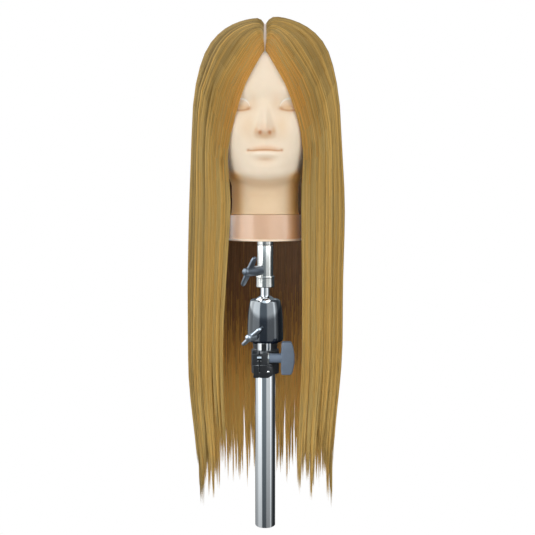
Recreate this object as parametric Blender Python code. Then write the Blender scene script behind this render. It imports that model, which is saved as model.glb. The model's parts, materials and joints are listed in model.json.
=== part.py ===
"""Mannequin training head with long hair, on a ball-jointed holder at the top of a stand pole.

Metres, +Z up. The face looks along -Y. The origin is the centre of the pole's lower end.
Bodies from the floor up: pole, clamp screw, mast (slides and turns), ball seat (swivels),
head (tilts), and two wing screws that lock the ball and the head's peg.
"""

import math

import bmesh
import bpy
from mathutils import Matrix, Vector

MM = 0.001
GAP = 0.3 * MM
ROUND = 24
ROUND_SMALL = 16

# Stand pole and telescoping mast
POLE_R = 14 * MM
POLE_BORE_R = 13 * MM
POLE_TOP = 246 * MM
MAST_R = 11 * MM
MAST_BORE_R = 9.5 * MM
MAST_BOTTOM = 62 * MM
MAST_TOP = 267 * MM
BUSH_LENGTH = 14 * MM
BUNG_DEPTH = 12 * MM

# Split clamp with its tee knob
CLAMP_R = 19.3 * MM
CLAMP_BOTTOM = 218 * MM
CLAMP_SHELF = 250 * MM
CLAMP_TOP = 260 * MM
LUG_FRONT = -35.5 * MM
LUG_LEFT = -18 * MM
LUG_RIGHT = 3.5 * MM
SLIT_X = -7.8 * MM
SLIT_WIDTH = 2.4 * MM
CLAMP_AXIS_Y = -27.5 * MM
CLAMP_AXIS_Z = 243.4 * MM
CLAMP_BOLT_R = 3 * MM
KNOB_NECK_R = 6.5 * MM
KNOB_BAR_START = 21.5 * MM
KNOB_BAR_END = 40 * MM
KNOB_HALF_SPAN = 22.5 * MM
KNOB_THICK = 13 * MM

# Ball joint
BALL_Z = 310 * MM
BALL_R = 17 * MM
STEM_R = 6.25 * MM
STEM_TOP = 349.5 * MM
HOUSING_BOTTOM = 262 * MM
HOUSING_R = 25 * MM
HOUSING_TOP = 321 * MM
HOUSING_BORE_R = 20.5 * MM
MOUTH_R = 14.8 * MM

# Peg socket and the head's own pipe
COLLAR_BOTTOM = 337.5 * MM
COLLAR_TOP = 353 * MM
COLLAR_R = 12.6 * MM
SOCKET_R = 11 * MM
SOCKET_BORE_R = 8.3 * MM
SOCKET_TOP = 440 * MM
GROOVE_Z = 396 * MM
PIPE_R = 8 * MM
PIPE_TOP = 459 * MM

# Wing screws: the angle runs from straight ahead towards the left
WING_THICK = 4 * MM
PEG_SCREW = {"angle": 36, "z": 361.5 * MM, "wall": SOCKET_R, "wings": 38 * MM, "end": 48 * MM,
             "hub": 6.8 * MM, "reach": 23.5 * MM, "turn": -28, "stud": 3.4 * MM, "tip": PIPE_R}
LOCK_SCREW = {"angle": 34, "z": 272.3 * MM, "wall": HOUSING_R, "wings": 33.5 * MM, "end": 44.5 * MM,
              "hub": 5.6 * MM, "reach": 20.5 * MM, "turn": -50, "stud": 3.4 * MM, "tip": 20.2 * MM}

# Neck ring
RING_BOTTOM = 402.5 * MM
RING_TOP = 437.5 * MM
RING_R = 50 * MM

# Head: height, half width, depth in front of the axis, depth behind it
HEAD_ROWS = [
    (437.8, 46.8, 46.8, 46.8), (442, 46, 46, 46), (462, 45.5, 46, 46.5), (474, 46, 53, 48.5),
    (482, 48.5, 82, 53), (495, 54, 91, 62), (510, 60, 93.5, 70), (530, 65, 94, 80),
    (550, 69, 93, 88), (575, 73, 91, 94), (605, 75.5, 92.5, 96), (635, 73, 88, 93),
    (660, 63, 73, 79), (678, 46, 52, 58), (688, 25, 28, 33),
]
HEAD_TOP = 691 * MM
SKULL_MIDDLE = 600 * MM
HEAD_POWER = 2.3
HEAD_COLUMNS = 28
SKIN = 3 * MM
NOSE_TIP_Z = 544 * MM
NOSE_BASE_Z = 533 * MM
NOSE_ROOT_Z = 580 * MM
NOSE_HEIGHT = 18 * MM
NOSE_HALF_WIDTH = 9 * MM
CORE_BOTTOM = 462 * MM

# Hair: half widths, face opening and hanging lengths
HAIR_LEFT = 105.5 * MM
HAIR_RIGHT = 109.5 * MM
HAIR_BACK = 109 * MM
HAIR_FRONT = 58 * MM
OPENING = 48 * MM
HAIR_THICK = 11 * MM
SKULL_CLEAR = 3 * MM
CROWN_THIN = 4 * MM
LOBE_RISE = 9 * MM
PARTING = 1.2 * MM
CROWN_HEM = 560 * MM
HAIR_END_SIDE = 62 * MM
HAIR_END_BACK = 45 * MM


def clear_scene():
    for item in list(bpy.data.objects):
        bpy.data.objects.remove(item, do_unlink=True)


def material(name, colour, roughness, metallic=0.0):
    """A Principled material; the same name always gives the same material."""
    found = bpy.data.materials.get(name)
    if found:
        return found
    made = bpy.data.materials.new(name)
    made.use_nodes = True
    shader = made.node_tree.nodes["Principled BSDF"]
    shader.inputs["Base Color"].default_value = (*colour, 1.0)
    shader.inputs["Roughness"].default_value = roughness
    shader.inputs["Metallic"].default_value = metallic
    made.diffuse_color = (*colour, 1.0)
    return made


def chrome():
    return material("chrome", (0.80, 0.81, 0.83), 0.08, 1.0)


def nickel():
    return material("nickel", (0.72, 0.71, 0.68), 0.22, 1.0)


def steel():
    return material("steel", (0.55, 0.56, 0.58), 0.30, 1.0)


def black_plastic():
    return material("black_plastic", (0.02, 0.02, 0.025), 0.35)


def nylon():
    return material("nylon", (0.80, 0.78, 0.72), 0.45)


def brass():
    return material("brass", (0.75, 0.58, 0.30), 0.30, 1.0)


def pivot(name, place, parent=None):
    """An empty on a joint's axis: place is its whole matrix, in world coordinates."""
    made = bpy.data.objects.new(name, None)
    bpy.context.scene.collection.objects.link(made)
    made.matrix_world = place
    if parent:
        made.parent = parent
        made.matrix_parent_inverse = parent.matrix_world.inverted()
    bpy.context.view_layer.update()
    return made


def finish_mesh(name, mesh, body, finish, local=False, smooth=40):
    """Makes the named object; the mesh is in world coordinates unless it is local to its body."""
    bmesh.ops.recalc_face_normals(mesh, faces=mesh.faces)
    data = bpy.data.meshes.new(name)
    if not local:
        mesh.transform(body.matrix_world.inverted())
    mesh.to_mesh(data)
    mesh.free()
    data.shade_smooth()
    data.set_sharp_from_angle(angle=math.radians(smooth))
    data.materials.append(finish)
    made = bpy.data.objects.new(name, data)
    bpy.context.scene.collection.objects.link(made)
    made.parent = body
    return made


def turned_mesh(profile, sides=ROUND, ring=False):
    """Turns (radius, height) points about Z. A ring's profile closes on itself; others end on the axis."""
    mesh = bmesh.new()
    loops = []
    for radius, height in profile:
        if radius < 1e-7:
            loops.append([mesh.verts.new((0, 0, height))])
            continue
        turn = [2 * math.pi * k / sides for k in range(sides)]
        loops.append([mesh.verts.new((radius * math.cos(a), radius * math.sin(a), height)) for a in turn])
    pairs = list(zip(loops, loops[1:]))
    if ring:
        pairs.append((loops[-1], loops[0]))
    for low, high in pairs:
        for k in range(sides):
            n = (k + 1) % sides
            if len(low) == 1:
                mesh.faces.new((low[0], high[k], high[n]))
            elif len(high) == 1:
                mesh.faces.new((low[k], low[n], high[0]))
            else:
                mesh.faces.new((low[k], low[n], high[n], high[k]))
    return mesh


def turned(name, profile, body, finish, sides=ROUND, ring=False, local=False):
    return finish_mesh(name, turned_mesh(profile, sides, ring), body, finish, local)


def tube(name, inner, outer, bottom, top, body, finish):
    """A plain ring or tube with a small chamfer on its outer edges."""
    edge = min(0.5 * MM, (outer - inner) / 3, (top - bottom) / 4)
    profile = [(inner, bottom), (outer - edge, bottom), (outer, bottom + edge),
               (outer, top - edge), (outer - edge, top), (inner, top)]
    return turned(name, profile, body, finish, ring=True)


def prism_mesh(outline, thickness):
    """An outline of (x, z) points made thickness deep, centred on y = 0."""
    mesh = bmesh.new()
    near = [mesh.verts.new((x, -thickness / 2, z)) for x, z in outline]
    far = [mesh.verts.new((x, thickness / 2, z)) for x, z in outline]
    mesh.faces.new(near)
    mesh.faces.new(list(reversed(far)))
    count = len(outline)
    for k in range(count):
        n = (k + 1) % count
        mesh.faces.new((near[k], far[k], far[n], near[n]))
    return mesh


def box_mesh(low, high):
    mesh = bmesh.new()
    bmesh.ops.create_cube(mesh, size=1)
    size = [b - a for a, b in zip(low, high)]
    centre = [(a + b) / 2 for a, b in zip(low, high)]
    bmesh.ops.scale(mesh, vec=size, verts=mesh.verts)
    bmesh.ops.translate(mesh, vec=centre, verts=mesh.verts)
    return mesh


def boolean(target, mesh, operation, label):
    """Joins to target, or cuts from it, a mesh given in the target's own coordinates."""
    bmesh.ops.recalc_face_normals(mesh, faces=mesh.faces)
    data = bpy.data.meshes.new(label)
    mesh.to_mesh(data)
    mesh.free()
    tool = bpy.data.objects.new(label, data)
    bpy.context.scene.collection.objects.link(tool)
    tool.parent = target
    tool.hide_render = True
    tool.display_type = "WIRE"
    step = target.modifiers.new(label, "BOOLEAN")
    step.operation = operation
    step.object = tool


def along_x(mesh, y, z):
    """Lays a mesh turned about Z down along +X, with its axis through (y, z)."""
    mesh.transform(Matrix.Translation((0, y, z)) @ Matrix.Rotation(math.radians(90), 4, "Y"))
    return mesh


# ---- pole and clamp -------------------------------------------------------------------------


def make_pole(body):
    tube("pole_tube", POLE_BORE_R, POLE_R, 0, POLE_TOP, body, chrome())
    bung_r = POLE_BORE_R - GAP
    turned("pole_end_bung", [(0, 0), (bung_r, 0), (bung_r, BUNG_DEPTH), (0, BUNG_DEPTH)],
           body, black_plastic())
    sleeve = MAST_R + GAP
    flange = POLE_TOP + GAP
    turned("pole_top_bush",
           [(sleeve, POLE_TOP - 20 * MM), (POLE_BORE_R - GAP, POLE_TOP - 20 * MM),
            (POLE_BORE_R - GAP, flange), (POLE_R, flange), (POLE_R, flange + 1.2 * MM),
            (sleeve, flange + 1.2 * MM)], body, nylon(), ring=True)


def make_clamp(body):
    """The split clamp: a collar on the pole, a neck on the mast, and two lugs pulled together."""
    bore = POLE_R + GAP
    neck = MAST_R + 2 * GAP
    step = POLE_TOP + 2 * MM
    clamp = turned("clamp_collar",
                   [(0, CLAMP_BOTTOM), (CLAMP_R, CLAMP_BOTTOM), (CLAMP_R, CLAMP_SHELF),
                    (16.6 * MM, CLAMP_SHELF + 2 * MM), (17.6 * MM, CLAMP_TOP), (0, CLAMP_TOP)],
                   body, black_plastic())
    lug_top = CLAMP_SHELF + 0.6 * MM
    lugs = prism_mesh([(LUG_LEFT, 216 * MM), (8 * MM, 219 * MM), (8 * MM, 232 * MM),
                       (LUG_RIGHT, 234 * MM), (LUG_RIGHT, lug_top), (LUG_LEFT, lug_top)],
                      LUG_FRONT * -1 - 8 * MM)
    bmesh.ops.translate(lugs, vec=(0, (LUG_FRONT - 8 * MM) / 2, 0), verts=lugs.verts)
    boolean(clamp, lugs, "UNION", "clamp_lug_block")
    low_bore = turned_mesh([(0, 200 * MM), (bore, 200 * MM), (bore, step), (0, step)])
    boolean(clamp, low_bore, "DIFFERENCE", "cut_pole_bore")
    high_bore = turned_mesh([(0, 240 * MM), (neck, 240 * MM), (neck, 270 * MM), (0, 270 * MM)])
    boolean(clamp, high_bore, "DIFFERENCE", "cut_mast_bore")
    hole_r = CLAMP_BOLT_R + GAP
    hole = turned_mesh([(0, -30 * MM), (hole_r, -30 * MM), (hole_r, 20 * MM), (0, 20 * MM)], ROUND_SMALL)
    boolean(clamp, along_x(hole, CLAMP_AXIS_Y, CLAMP_AXIS_Z), "DIFFERENCE", "cut_bolt_hole")
    pocket_r = 6.3 * MM
    pocket = turned_mesh([(0, -30 * MM), (pocket_r, -30 * MM), (pocket_r, -12.5 * MM), (0, -12.5 * MM)], 6)
    boolean(clamp, along_x(pocket, CLAMP_AXIS_Y, CLAMP_AXIS_Z), "DIFFERENCE", "cut_nut_pocket")
    slit = box_mesh((SLIT_X - SLIT_WIDTH / 2, LUG_FRONT - 5 * MM, 200 * MM),
                    (SLIT_X + SLIT_WIDTH / 2, -5 * MM, 270 * MM))
    boolean(clamp, slit, "DIFFERENCE", "cut_slit")
    window = box_mesh((-9.7 * MM, -40 * MM, CLAMP_SHELF + 1 * MM), (9.7 * MM, -4 * MM, 270 * MM))
    boolean(clamp, window, "DIFFERENCE", "cut_window")


def make_clamp_fasteners(body):
    nut_r = 5.9 * MM
    bore = CLAMP_BOLT_R + GAP
    nut_mesh = turned_mesh([(0, -17.8 * MM), (nut_r, -17.8 * MM), (nut_r, -12.9 * MM), (0, -12.9 * MM)], 6)
    nut = finish_mesh("clamp_nut", along_x(nut_mesh, CLAMP_AXIS_Y, CLAMP_AXIS_Z), body, steel(), smooth=20)
    hole = turned_mesh([(0, -20 * MM), (bore, -20 * MM), (bore, -10 * MM), (0, -10 * MM)], ROUND_SMALL)
    boolean(nut, along_x(hole, CLAMP_AXIS_Y, CLAMP_AXIS_Z), "DIFFERENCE", "cut_nut_thread")
    rivet = turned_mesh([(0, 0), (2.2 * MM, 0), (1.8 * MM, 1 * MM), (0, 1.4 * MM)], 16)
    front = LUG_FRONT - GAP
    rivet.transform(Matrix.Translation((4.5 * MM, front, 226 * MM)) @ Matrix.Rotation(math.radians(90), 4, "X"))
    finish_mesh("clamp_rivet", rivet, body, chrome())


def make_clamp_knob(washer_body, knob_body):
    """The tee knob, its bolt through both lugs, and the thrust washer that travels with it."""
    face = LUG_RIGHT + GAP
    bore = CLAMP_BOLT_R + GAP
    washer = turned_mesh([(bore, face), (7.2 * MM, face), (7.2 * MM, face + 1.4 * MM), (bore, face + 1.4 * MM)],
                         ROUND_SMALL, ring=True)
    finish_mesh("clamp_washer", along_x(washer, CLAMP_AXIS_Y, CLAMP_AXIS_Z), washer_body, steel())
    shank_start = LUG_LEFT + 1 * MM
    shank_end = KNOB_BAR_START + 6 * MM
    bolt = turned_mesh([(0, shank_start), (CLAMP_BOLT_R, shank_start), (CLAMP_BOLT_R, shank_end), (0, shank_end)],
                       ROUND_SMALL)
    finish_mesh("clamp_bolt", along_x(bolt, CLAMP_AXIS_Y, CLAMP_AXIS_Z), knob_body, steel())

    neck_start = face + 1.4 * MM + GAP
    neck_end = KNOB_BAR_START + 2 * MM
    neck = turned_mesh([(0, neck_start), (KNOB_NECK_R, neck_start), (KNOB_NECK_R, neck_end), (0, neck_end)], 24)
    knob = finish_mesh("tee_knob", along_x(neck, CLAMP_AXIS_Y, CLAMP_AXIS_Z), knob_body,
                       material("grey_plastic", (0.22, 0.24, 0.31), 0.45))
    far = KNOB_BAR_END
    tip = KNOB_HALF_SPAN
    near = KNOB_BAR_START
    outline = [(near, -tip), (far - 5 * MM, -tip), (far - 3 * MM, -tip + 3 * MM), (far, -6 * MM),
               (far, 6 * MM), (far - 3 * MM, tip - 3 * MM), (far - 5 * MM, tip), (near, tip)]
    boolean(knob, prism_mesh(outline, KNOB_THICK), "UNION", "tee_knob_bar")
    cavity_r = CLAMP_BOLT_R + GAP
    cavity = turned_mesh([(0, 0), (cavity_r, 0), (cavity_r, shank_end + GAP), (0, shank_end + GAP)], ROUND_SMALL)
    boolean(knob, along_x(cavity, 0, 0), "DIFFERENCE", "cut_knob_bore")


# ---- mast and ball joint --------------------------------------------------------------------


def make_mast(body, bush_body):
    tube("inner_mast", MAST_BORE_R, MAST_R, MAST_BOTTOM, MAST_TOP, body, chrome())
    flange = POLE_BORE_R - 2 * GAP
    spigot = MAST_BORE_R - GAP
    turned("mast_foot_cap",
           [(0, MAST_BOTTOM - 3 * MM), (flange, MAST_BOTTOM - 3 * MM), (flange, MAST_BOTTOM - GAP),
            (spigot, MAST_BOTTOM - GAP), (spigot, MAST_BOTTOM + 10 * MM), (0, MAST_BOTTOM + 10 * MM)],
           body, black_plastic())
    bush_top = MAST_BOTTOM + BUSH_LENGTH
    tube("mast_foot_bush", MAST_R + GAP, POLE_BORE_R - GAP, MAST_BOTTOM, bush_top, bush_body, nylon())
    clip_low = bush_top + GAP
    tube("bush_retaining_clip", MAST_R + 0.25 * MM, POLE_BORE_R - 2 * GAP, clip_low, clip_low + 1 * MM, body,
         steel())


def make_housing(body):
    """The ball housing: a tapered cup, mouth up, with a scoop at the front of its rim."""
    rim = HOUSING_TOP
    profile = [
        (HOUSING_BORE_R, HOUSING_BOTTOM), (19.5 * MM + 3 * MM, HOUSING_BOTTOM),
        (HOUSING_R - 0.8 * MM, HOUSING_BOTTOM + 1.2 * MM), (HOUSING_R, HOUSING_BOTTOM + 3.5 * MM),
        (24.7 * MM, 285 * MM), (23.6 * MM, 302 * MM), (22.2 * MM, 313 * MM), (20.8 * MM, rim - 2 * MM),
        (18.6 * MM, rim - 0.3 * MM), (17 * MM, rim), (MOUTH_R + 0.6 * MM, rim - 0.6 * MM),
    ]
    socket = sphere_arc(BALL_R + 0.5 * MM, 122, 90, 5)
    ledge = 306.6 * MM
    profile += socket + [(socket[-1][0], ledge), (HOUSING_BORE_R, ledge)]
    housing = turned("ball_housing", profile, body, material("gloss_black", (0.012, 0.012, 0.018), 0.12),
                     ring=True)
    scoop = turned_mesh([(0, 0), (11 * MM, 0), (11 * MM, 30 * MM), (0, 30 * MM)], ROUND)
    place = Matrix.Translation((0, -6 * MM, rim + 7.5 * MM)) @ Matrix.Rotation(math.radians(90), 4, "X")
    scoop.transform(place)
    boolean(housing, scoop, "DIFFERENCE", "cut_rim_scoop")
    bore_r = LOCK_SCREW["stud"] + GAP
    hole = turned_mesh([(0, 15 * MM), (bore_r, 15 * MM), (bore_r, 35 * MM), (0, 35 * MM)], ROUND_SMALL)
    hole.transform(screw_frame(LOCK_SCREW))
    boolean(housing, hole, "DIFFERENCE", "cut_lock_hole")
    tube("housing_base_ring", MAST_R + GAP, HOUSING_BORE_R - GAP, HOUSING_BOTTOM + GAP, MAST_TOP, body, steel())


def sphere_arc(radius, start, stop, count):
    """(radius, height) points on a ball about BALL_Z; the angles run from straight down, in degrees."""
    points = []
    for k in range(count + 1):
        angle = math.radians(start + (stop - start) * k / count)
        points.append((radius * math.sin(angle), BALL_Z - radius * math.cos(angle)))
    return points


def make_ball_seat(body):
    """The nylon cup under the ball; it turns in the housing and its foot is what the lock screw presses."""
    outer = HOUSING_BORE_R - GAP
    foot = MAST_TOP + 1 * MM
    cup = sphere_arc(BALL_R + GAP, 0, 72, 7)
    rim_z = cup[-1][1]
    profile = cup + [(outer, rim_z), (outer, foot), (outer - 6 * MM, foot),
                     (outer - 6 * MM, foot + 16 * MM), (0, foot + 16 * MM)]
    turned("ball_seat", profile, body, nylon())


def make_ball_stem(body):
    meet = math.degrees(math.acos(-math.sqrt(BALL_R ** 2 - STEM_R ** 2) / BALL_R))
    ball = sphere_arc(BALL_R, 0, meet, 12)
    stem = [(STEM_R, STEM_TOP - 1 * MM), (STEM_R - 1 * MM, STEM_TOP), (0, STEM_TOP)]
    turned("ball_stem", ball + stem, body, chrome())
    tube("stem_nut", STEM_R + GAP, SOCKET_BORE_R - GAP, COLLAR_BOTTOM + 6 * MM, STEM_TOP - 2 * MM, body, steel())


# ---- wing screws ----------------------------------------------------------------------------


def screw_frame(screw):
    """Z runs out along the screw from the pole's axis, and X is straight up."""
    angle = math.radians(screw["angle"])
    out = Vector((-math.sin(angle), -math.cos(angle), 0))
    up = Vector((0, 0, 1))
    side = out.cross(up)
    turn = Matrix((up, side, out)).transposed().to_4x4()
    return Matrix.Translation((0, 0, screw["z"])) @ turn


def make_wing_screw(name, screw, pad_body, screw_body, finish):
    """A wing casting on a steel stud, with a soft pad at the stud's tip that doesn't turn."""
    stud_r = screw["stud"]
    pad_start = screw["tip"] + GAP + 0.1 * MM
    pad_end = pad_start + 1.6 * MM
    turned(name + "_pad", [(0, pad_start), (stud_r, pad_start), (stud_r, pad_end), (0, pad_end)],
           pad_body, brass(), ROUND_SMALL, local=True)
    stud_start = pad_end + GAP
    hub_start = screw["wall"] + 1 * MM
    stud_end = screw["wings"]
    turned(name + "_stud", [(0, stud_start), (stud_r, stud_start), (stud_r, stud_end), (0, stud_end)],
           screw_body, steel(), ROUND_SMALL, local=True)
    hub = screw["hub"]
    end = screw["end"]
    profile = [(0, hub_start), (hub, hub_start), (hub, screw["wings"] - 4 * MM), (hub * 0.8, end - 7 * MM),
               (hub * 0.75, end - 3 * MM), (hub * 0.5, end - 0.7 * MM), (0, end)]
    wings = turned(name + "_wings", profile, screw_body, finish, 18, local=True)
    middle = screw["wings"]
    reach = screw["reach"]
    outline = [(3 * MM, middle - 7 * MM), (14 * MM, middle - 5.5 * MM), (reach - 2 * MM, middle - 3.5 * MM),
               (reach, middle), (reach - 2 * MM, middle + 3 * MM), (14 * MM, middle + 4 * MM),
               (3 * MM, middle + 6 * MM)]
    for side, turn in (("a", 0), ("b", 180)):
        blade = prism_mesh(outline, WING_THICK)
        blade.transform(Matrix.Rotation(math.radians(screw["turn"] + turn), 4, "Z"))
        boolean(wings, blade, "UNION", name + "_blade_" + side)
    bore = turned_mesh([(0, 0), (stud_r + GAP, 0), (stud_r + GAP, stud_end + GAP), (0, stud_end + GAP)],
                       ROUND_SMALL)
    boolean(wings, bore, "DIFFERENCE", "cut_" + name + "_bore")


# ---- peg socket and neck --------------------------------------------------------------------


def make_socket(body):
    stem_bore = STEM_R + GAP
    seat = SOCKET_R + GAP
    floor = COLLAR_BOTTOM + 5 * MM
    turned("socket_collar",
           [(stem_bore, COLLAR_BOTTOM), (COLLAR_R - 0.4 * MM, COLLAR_BOTTOM), (COLLAR_R, COLLAR_BOTTOM + 1 * MM),
            (COLLAR_R - 0.3 * MM, COLLAR_TOP - 2 * MM), (COLLAR_R + 0.4 * MM, COLLAR_TOP - 1.6 * MM),
            (COLLAR_R + 0.4 * MM, COLLAR_TOP), (seat, COLLAR_TOP), (seat, floor), (stem_bore, floor)],
           body, nickel(), ring=True)
    groove = SOCKET_R - 0.5 * MM
    tube_shape = turned("socket_tube",
                        [(SOCKET_BORE_R, floor + GAP), (SOCKET_R, floor + GAP), (SOCKET_R, GROOVE_Z - 1 * MM),
                         (groove, GROOVE_Z - 0.6 * MM), (groove, GROOVE_Z + 0.6 * MM),
                         (SOCKET_R, GROOVE_Z + 1 * MM), (SOCKET_R, SOCKET_TOP), (SOCKET_BORE_R, SOCKET_TOP)],
                        body, nickel(), ring=True)
    bore_r = PEG_SCREW["stud"] + GAP
    hole = turned_mesh([(0, 5 * MM), (bore_r, 5 * MM), (bore_r, 20 * MM), (0, 20 * MM)], ROUND_SMALL)
    hole.transform(body.matrix_world.inverted() @ screw_frame(PEG_SCREW))
    boolean(tube_shape, hole, "DIFFERENCE", "cut_peg_hole")


def make_neck(body):
    turned("neck_pipe",
           [(PIPE_R - 1.5 * MM, COLLAR_TOP), (PIPE_R, COLLAR_TOP), (PIPE_R, PIPE_TOP - 2.6 * MM),
            (13 * MM, PIPE_TOP - 2.6 * MM), (13 * MM, PIPE_TOP), (PIPE_R - 1.5 * MM, PIPE_TOP)],
           body, nickel(), 24, ring=True)
    around = SOCKET_R + 2 * GAP
    shoulder = SOCKET_TOP + 3 * MM
    hub_top = PIPE_TOP - 2.6 * MM - GAP
    hub_r = 15.5 * MM
    plate_r = 44.2 * MM
    plate = RING_BOTTOM + 0.5 * MM
    turned("neck_base_plug",
           [(around, plate), (plate_r, plate), (plate_r, plate + 2.8 * MM), (hub_r, plate + 4 * MM),
            (hub_r, hub_top), (PIPE_R + 2 * GAP, hub_top), (PIPE_R + 2 * GAP, shoulder), (around, shoulder)],
           body, material("base_plastic", (0.62, 0.45, 0.36), 0.35), ring=True)
    lip = RING_R + 1.1 * MM
    turned("neck_ring",
           [(44.6 * MM, RING_BOTTOM), (lip - 0.6 * MM, RING_BOTTOM), (lip, RING_BOTTOM + 1 * MM),
            (lip, RING_BOTTOM + 2 * MM), (RING_R, RING_BOTTOM + 3 * MM), (RING_R - 0.9 * MM, RING_TOP),
            (43 * MM, RING_TOP), (43 * MM, RING_TOP - 2.5 * MM), (46.4 * MM, RING_TOP - 4 * MM),
            (47.2 * MM, RING_BOTTOM + 5 * MM), (44.6 * MM, RING_BOTTOM + 3.5 * MM)],
           body, material("peach_plastic", (0.80, 0.55, 0.42), 0.15), 36, ring=True)


# ---- head -----------------------------------------------------------------------------------


def smooth_step(value):
    value = min(max(value, 0.0), 1.0)
    return value * value * (3 - 2 * value)


def head_size(height):
    """Half width, front depth and back depth of the head at a height."""
    rows = HEAD_ROWS
    level = height / MM
    if level >= rows[-1][0]:
        share = max(0.0, 1 - ((level - rows[-1][0]) / (HEAD_TOP / MM - rows[-1][0])) ** 2) ** 0.5
        return [MM * size * share for size in rows[-1][1:]]
    for low, high in zip(rows, rows[1:]):
        if level <= high[0]:
            share = max(0.0, (level - low[0]) / (high[0] - low[0]))
            return [MM * (a + (b - a) * share) for a, b in zip(low[1:], high[1:])]
    return [0.0, 0.0, 0.0]


def section_point(half, front, back, turn):
    """A point of the head's level section; turn 0 is straight ahead and grows towards +X."""
    across = math.sin(turn)
    ahead = math.cos(turn)
    power = 2 / HEAD_POWER
    x = math.copysign(abs(across) ** power, across) * half
    depth = front if ahead > 0 else back
    return x, -math.copysign(abs(ahead) ** power, ahead) * depth


def nose_rise(x, height):
    """How far the nose stands out of the face."""
    if height > NOSE_TIP_Z:
        along = smooth_step((NOSE_ROOT_Z - height) / (NOSE_ROOT_Z - NOSE_TIP_Z))
    else:
        along = smooth_step((height - NOSE_BASE_Z) / (NOSE_TIP_Z - NOSE_BASE_Z))
    return NOSE_HEIGHT * along * math.exp(-((x / NOSE_HALF_WIDTH) ** 2))


def head_loops(mesh, heights, inset, with_nose):
    loops = []
    for height in heights:
        sizes = [max(size - inset, 2 * MM) for size in head_size(height)]
        loop = []
        for k in range(HEAD_COLUMNS):
            x, y = section_point(*sizes, 2 * math.pi * k / HEAD_COLUMNS)
            if with_nose and y < 0:
                y -= nose_rise(x, height)
            loop.append(mesh.verts.new((x, y, height)))
        loops.append(loop)
    return loops


def bridge(mesh, loops):
    count = len(loops[0])
    for low, high in zip(loops, loops[1:]):
        for k in range(count):
            n = (k + 1) % count
            mesh.faces.new((low[k], low[n], high[n], high[k]))


def make_head(body):
    """The vinyl skin, open at the neck, and the foam core inside it."""
    levels = [row[0] * MM for row in HEAD_ROWS]
    levels += [NOSE_BASE_Z, NOSE_TIP_Z, 562 * MM]
    levels.sort()
    skin = bmesh.new()
    outer = head_loops(skin, levels, 0, True)
    inner = head_loops(skin, [row[0] * MM for row in HEAD_ROWS[:-1]], SKIN, False)
    bridge(skin, outer)
    bridge(skin, inner)
    bridge(skin, [inner[0], outer[0]])
    skin.faces.new(outer[-1])
    skin.faces.new(inner[-1])
    finish_mesh("head_skin", skin, body, material("vinyl", (0.90, 0.74, 0.62), 0.45), smooth=80)
    core = bmesh.new()
    heights = [CORE_BOTTOM] + [row[0] * MM for row in HEAD_ROWS[2:-1]]
    loops = head_loops(core, heights, SKIN + 2 * GAP, False)
    loops[0] = lower_to(loops[0], CORE_BOTTOM)
    bmesh.ops.translate(core, vec=(0, 0, -2 * GAP), verts=loops[-1])
    bridge(core, loops)
    core.faces.new(loops[0])
    core.faces.new(loops[-1])
    finish_mesh("foam_core", core, body, material("foam", (0.85, 0.80, 0.68), 0.9), smooth=60)


def lower_to(loop, height):
    """Draws the foam's lowest loop in, so that it fits the neck."""
    for vert in loop:
        vert.co.x *= 0.9
        vert.co.y *= 0.9
        vert.co.z = height
    return loop


# ---- hair -----------------------------------------------------------------------------------


def parting_point(share):
    """Where hair at this share (0 face edge, 1 centre back) leaves the parting: y and height."""
    y = (-82 + 97 * share ** 0.8 + 40 * share ** 2) * MM
    return y, 600 * MM + 91 * MM * math.sqrt(max(0.0, 1 - ((y + 2 * MM) / (90 * MM)) ** 2))


def hanging_point(share, side):
    """The level outline that the hair hangs on, from the face opening round to the centre back."""
    half = HAIR_RIGHT if side > 0 else HAIR_LEFT
    if share < 0.35:
        turn = math.radians(90 * share / 0.35)
        x = OPENING + (half - OPENING) * math.sin(turn)
        y = -HAIR_FRONT * math.cos(turn)
    else:
        turn = math.radians(90 * (share - 0.35) / 0.65)
        x = half * abs(math.cos(turn)) ** 0.87
        y = HAIR_BACK * abs(math.sin(turn)) ** 0.87
    return max(x, PARTING), y


def drape_shape(share):
    """The drape's roundness, the height where it hangs straight, and the height of its top."""
    front = smooth_step(share / 0.3)
    return 1.35 + 1.25 * front, (490 + 50 * front) * MM, parting_point(share)[1] + LOBE_RISE


def drape(share, fall, side):
    """A point on the hair: share picks the lock, fall 0 is its root and 1 where it hangs straight."""
    power, hem, top = drape_shape(share)
    root_y = parting_point(share)[0]
    hang_x, hang_y = hanging_point(share, side)
    turn = math.radians(90 * fall)
    out = math.sin(turn) ** (2 / power)
    down = math.cos(turn) ** (2 / power)
    x = PARTING + (hang_x - PARTING) * out
    return x * side, root_y + (hang_y - root_y) * out ** 1.6, hem + (top - hem) * down


def fall_to(share, height):
    """The fall at which a lock has come down to a height."""
    power, hem, top = drape_shape(share)
    return math.degrees(math.acos(((height - hem) / (top - hem)) ** (power / 2))) / 90


def clear_of_head(point, margin):
    """Moves a point out from the skull's middle until it is clear of the head's surface."""
    middle = Vector((0, 0, min(point[2], SKULL_MIDDLE)))
    place = Vector(point)
    way = (place - middle).normalized()
    while inside_head(place, margin):
        place += way * 0.5 * MM
    return tuple(place)


def inside_head(place, margin):
    half, front, back = head_size(place.z - (margin if place.z > SKULL_MIDDLE else 0))
    if half <= 0:
        return False
    depth = front if place.y < 0 else back
    reach = abs(place.x / (half + margin)) ** HEAD_POWER + abs(place.y / (depth + margin)) ** HEAD_POWER
    return reach < 1


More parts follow.
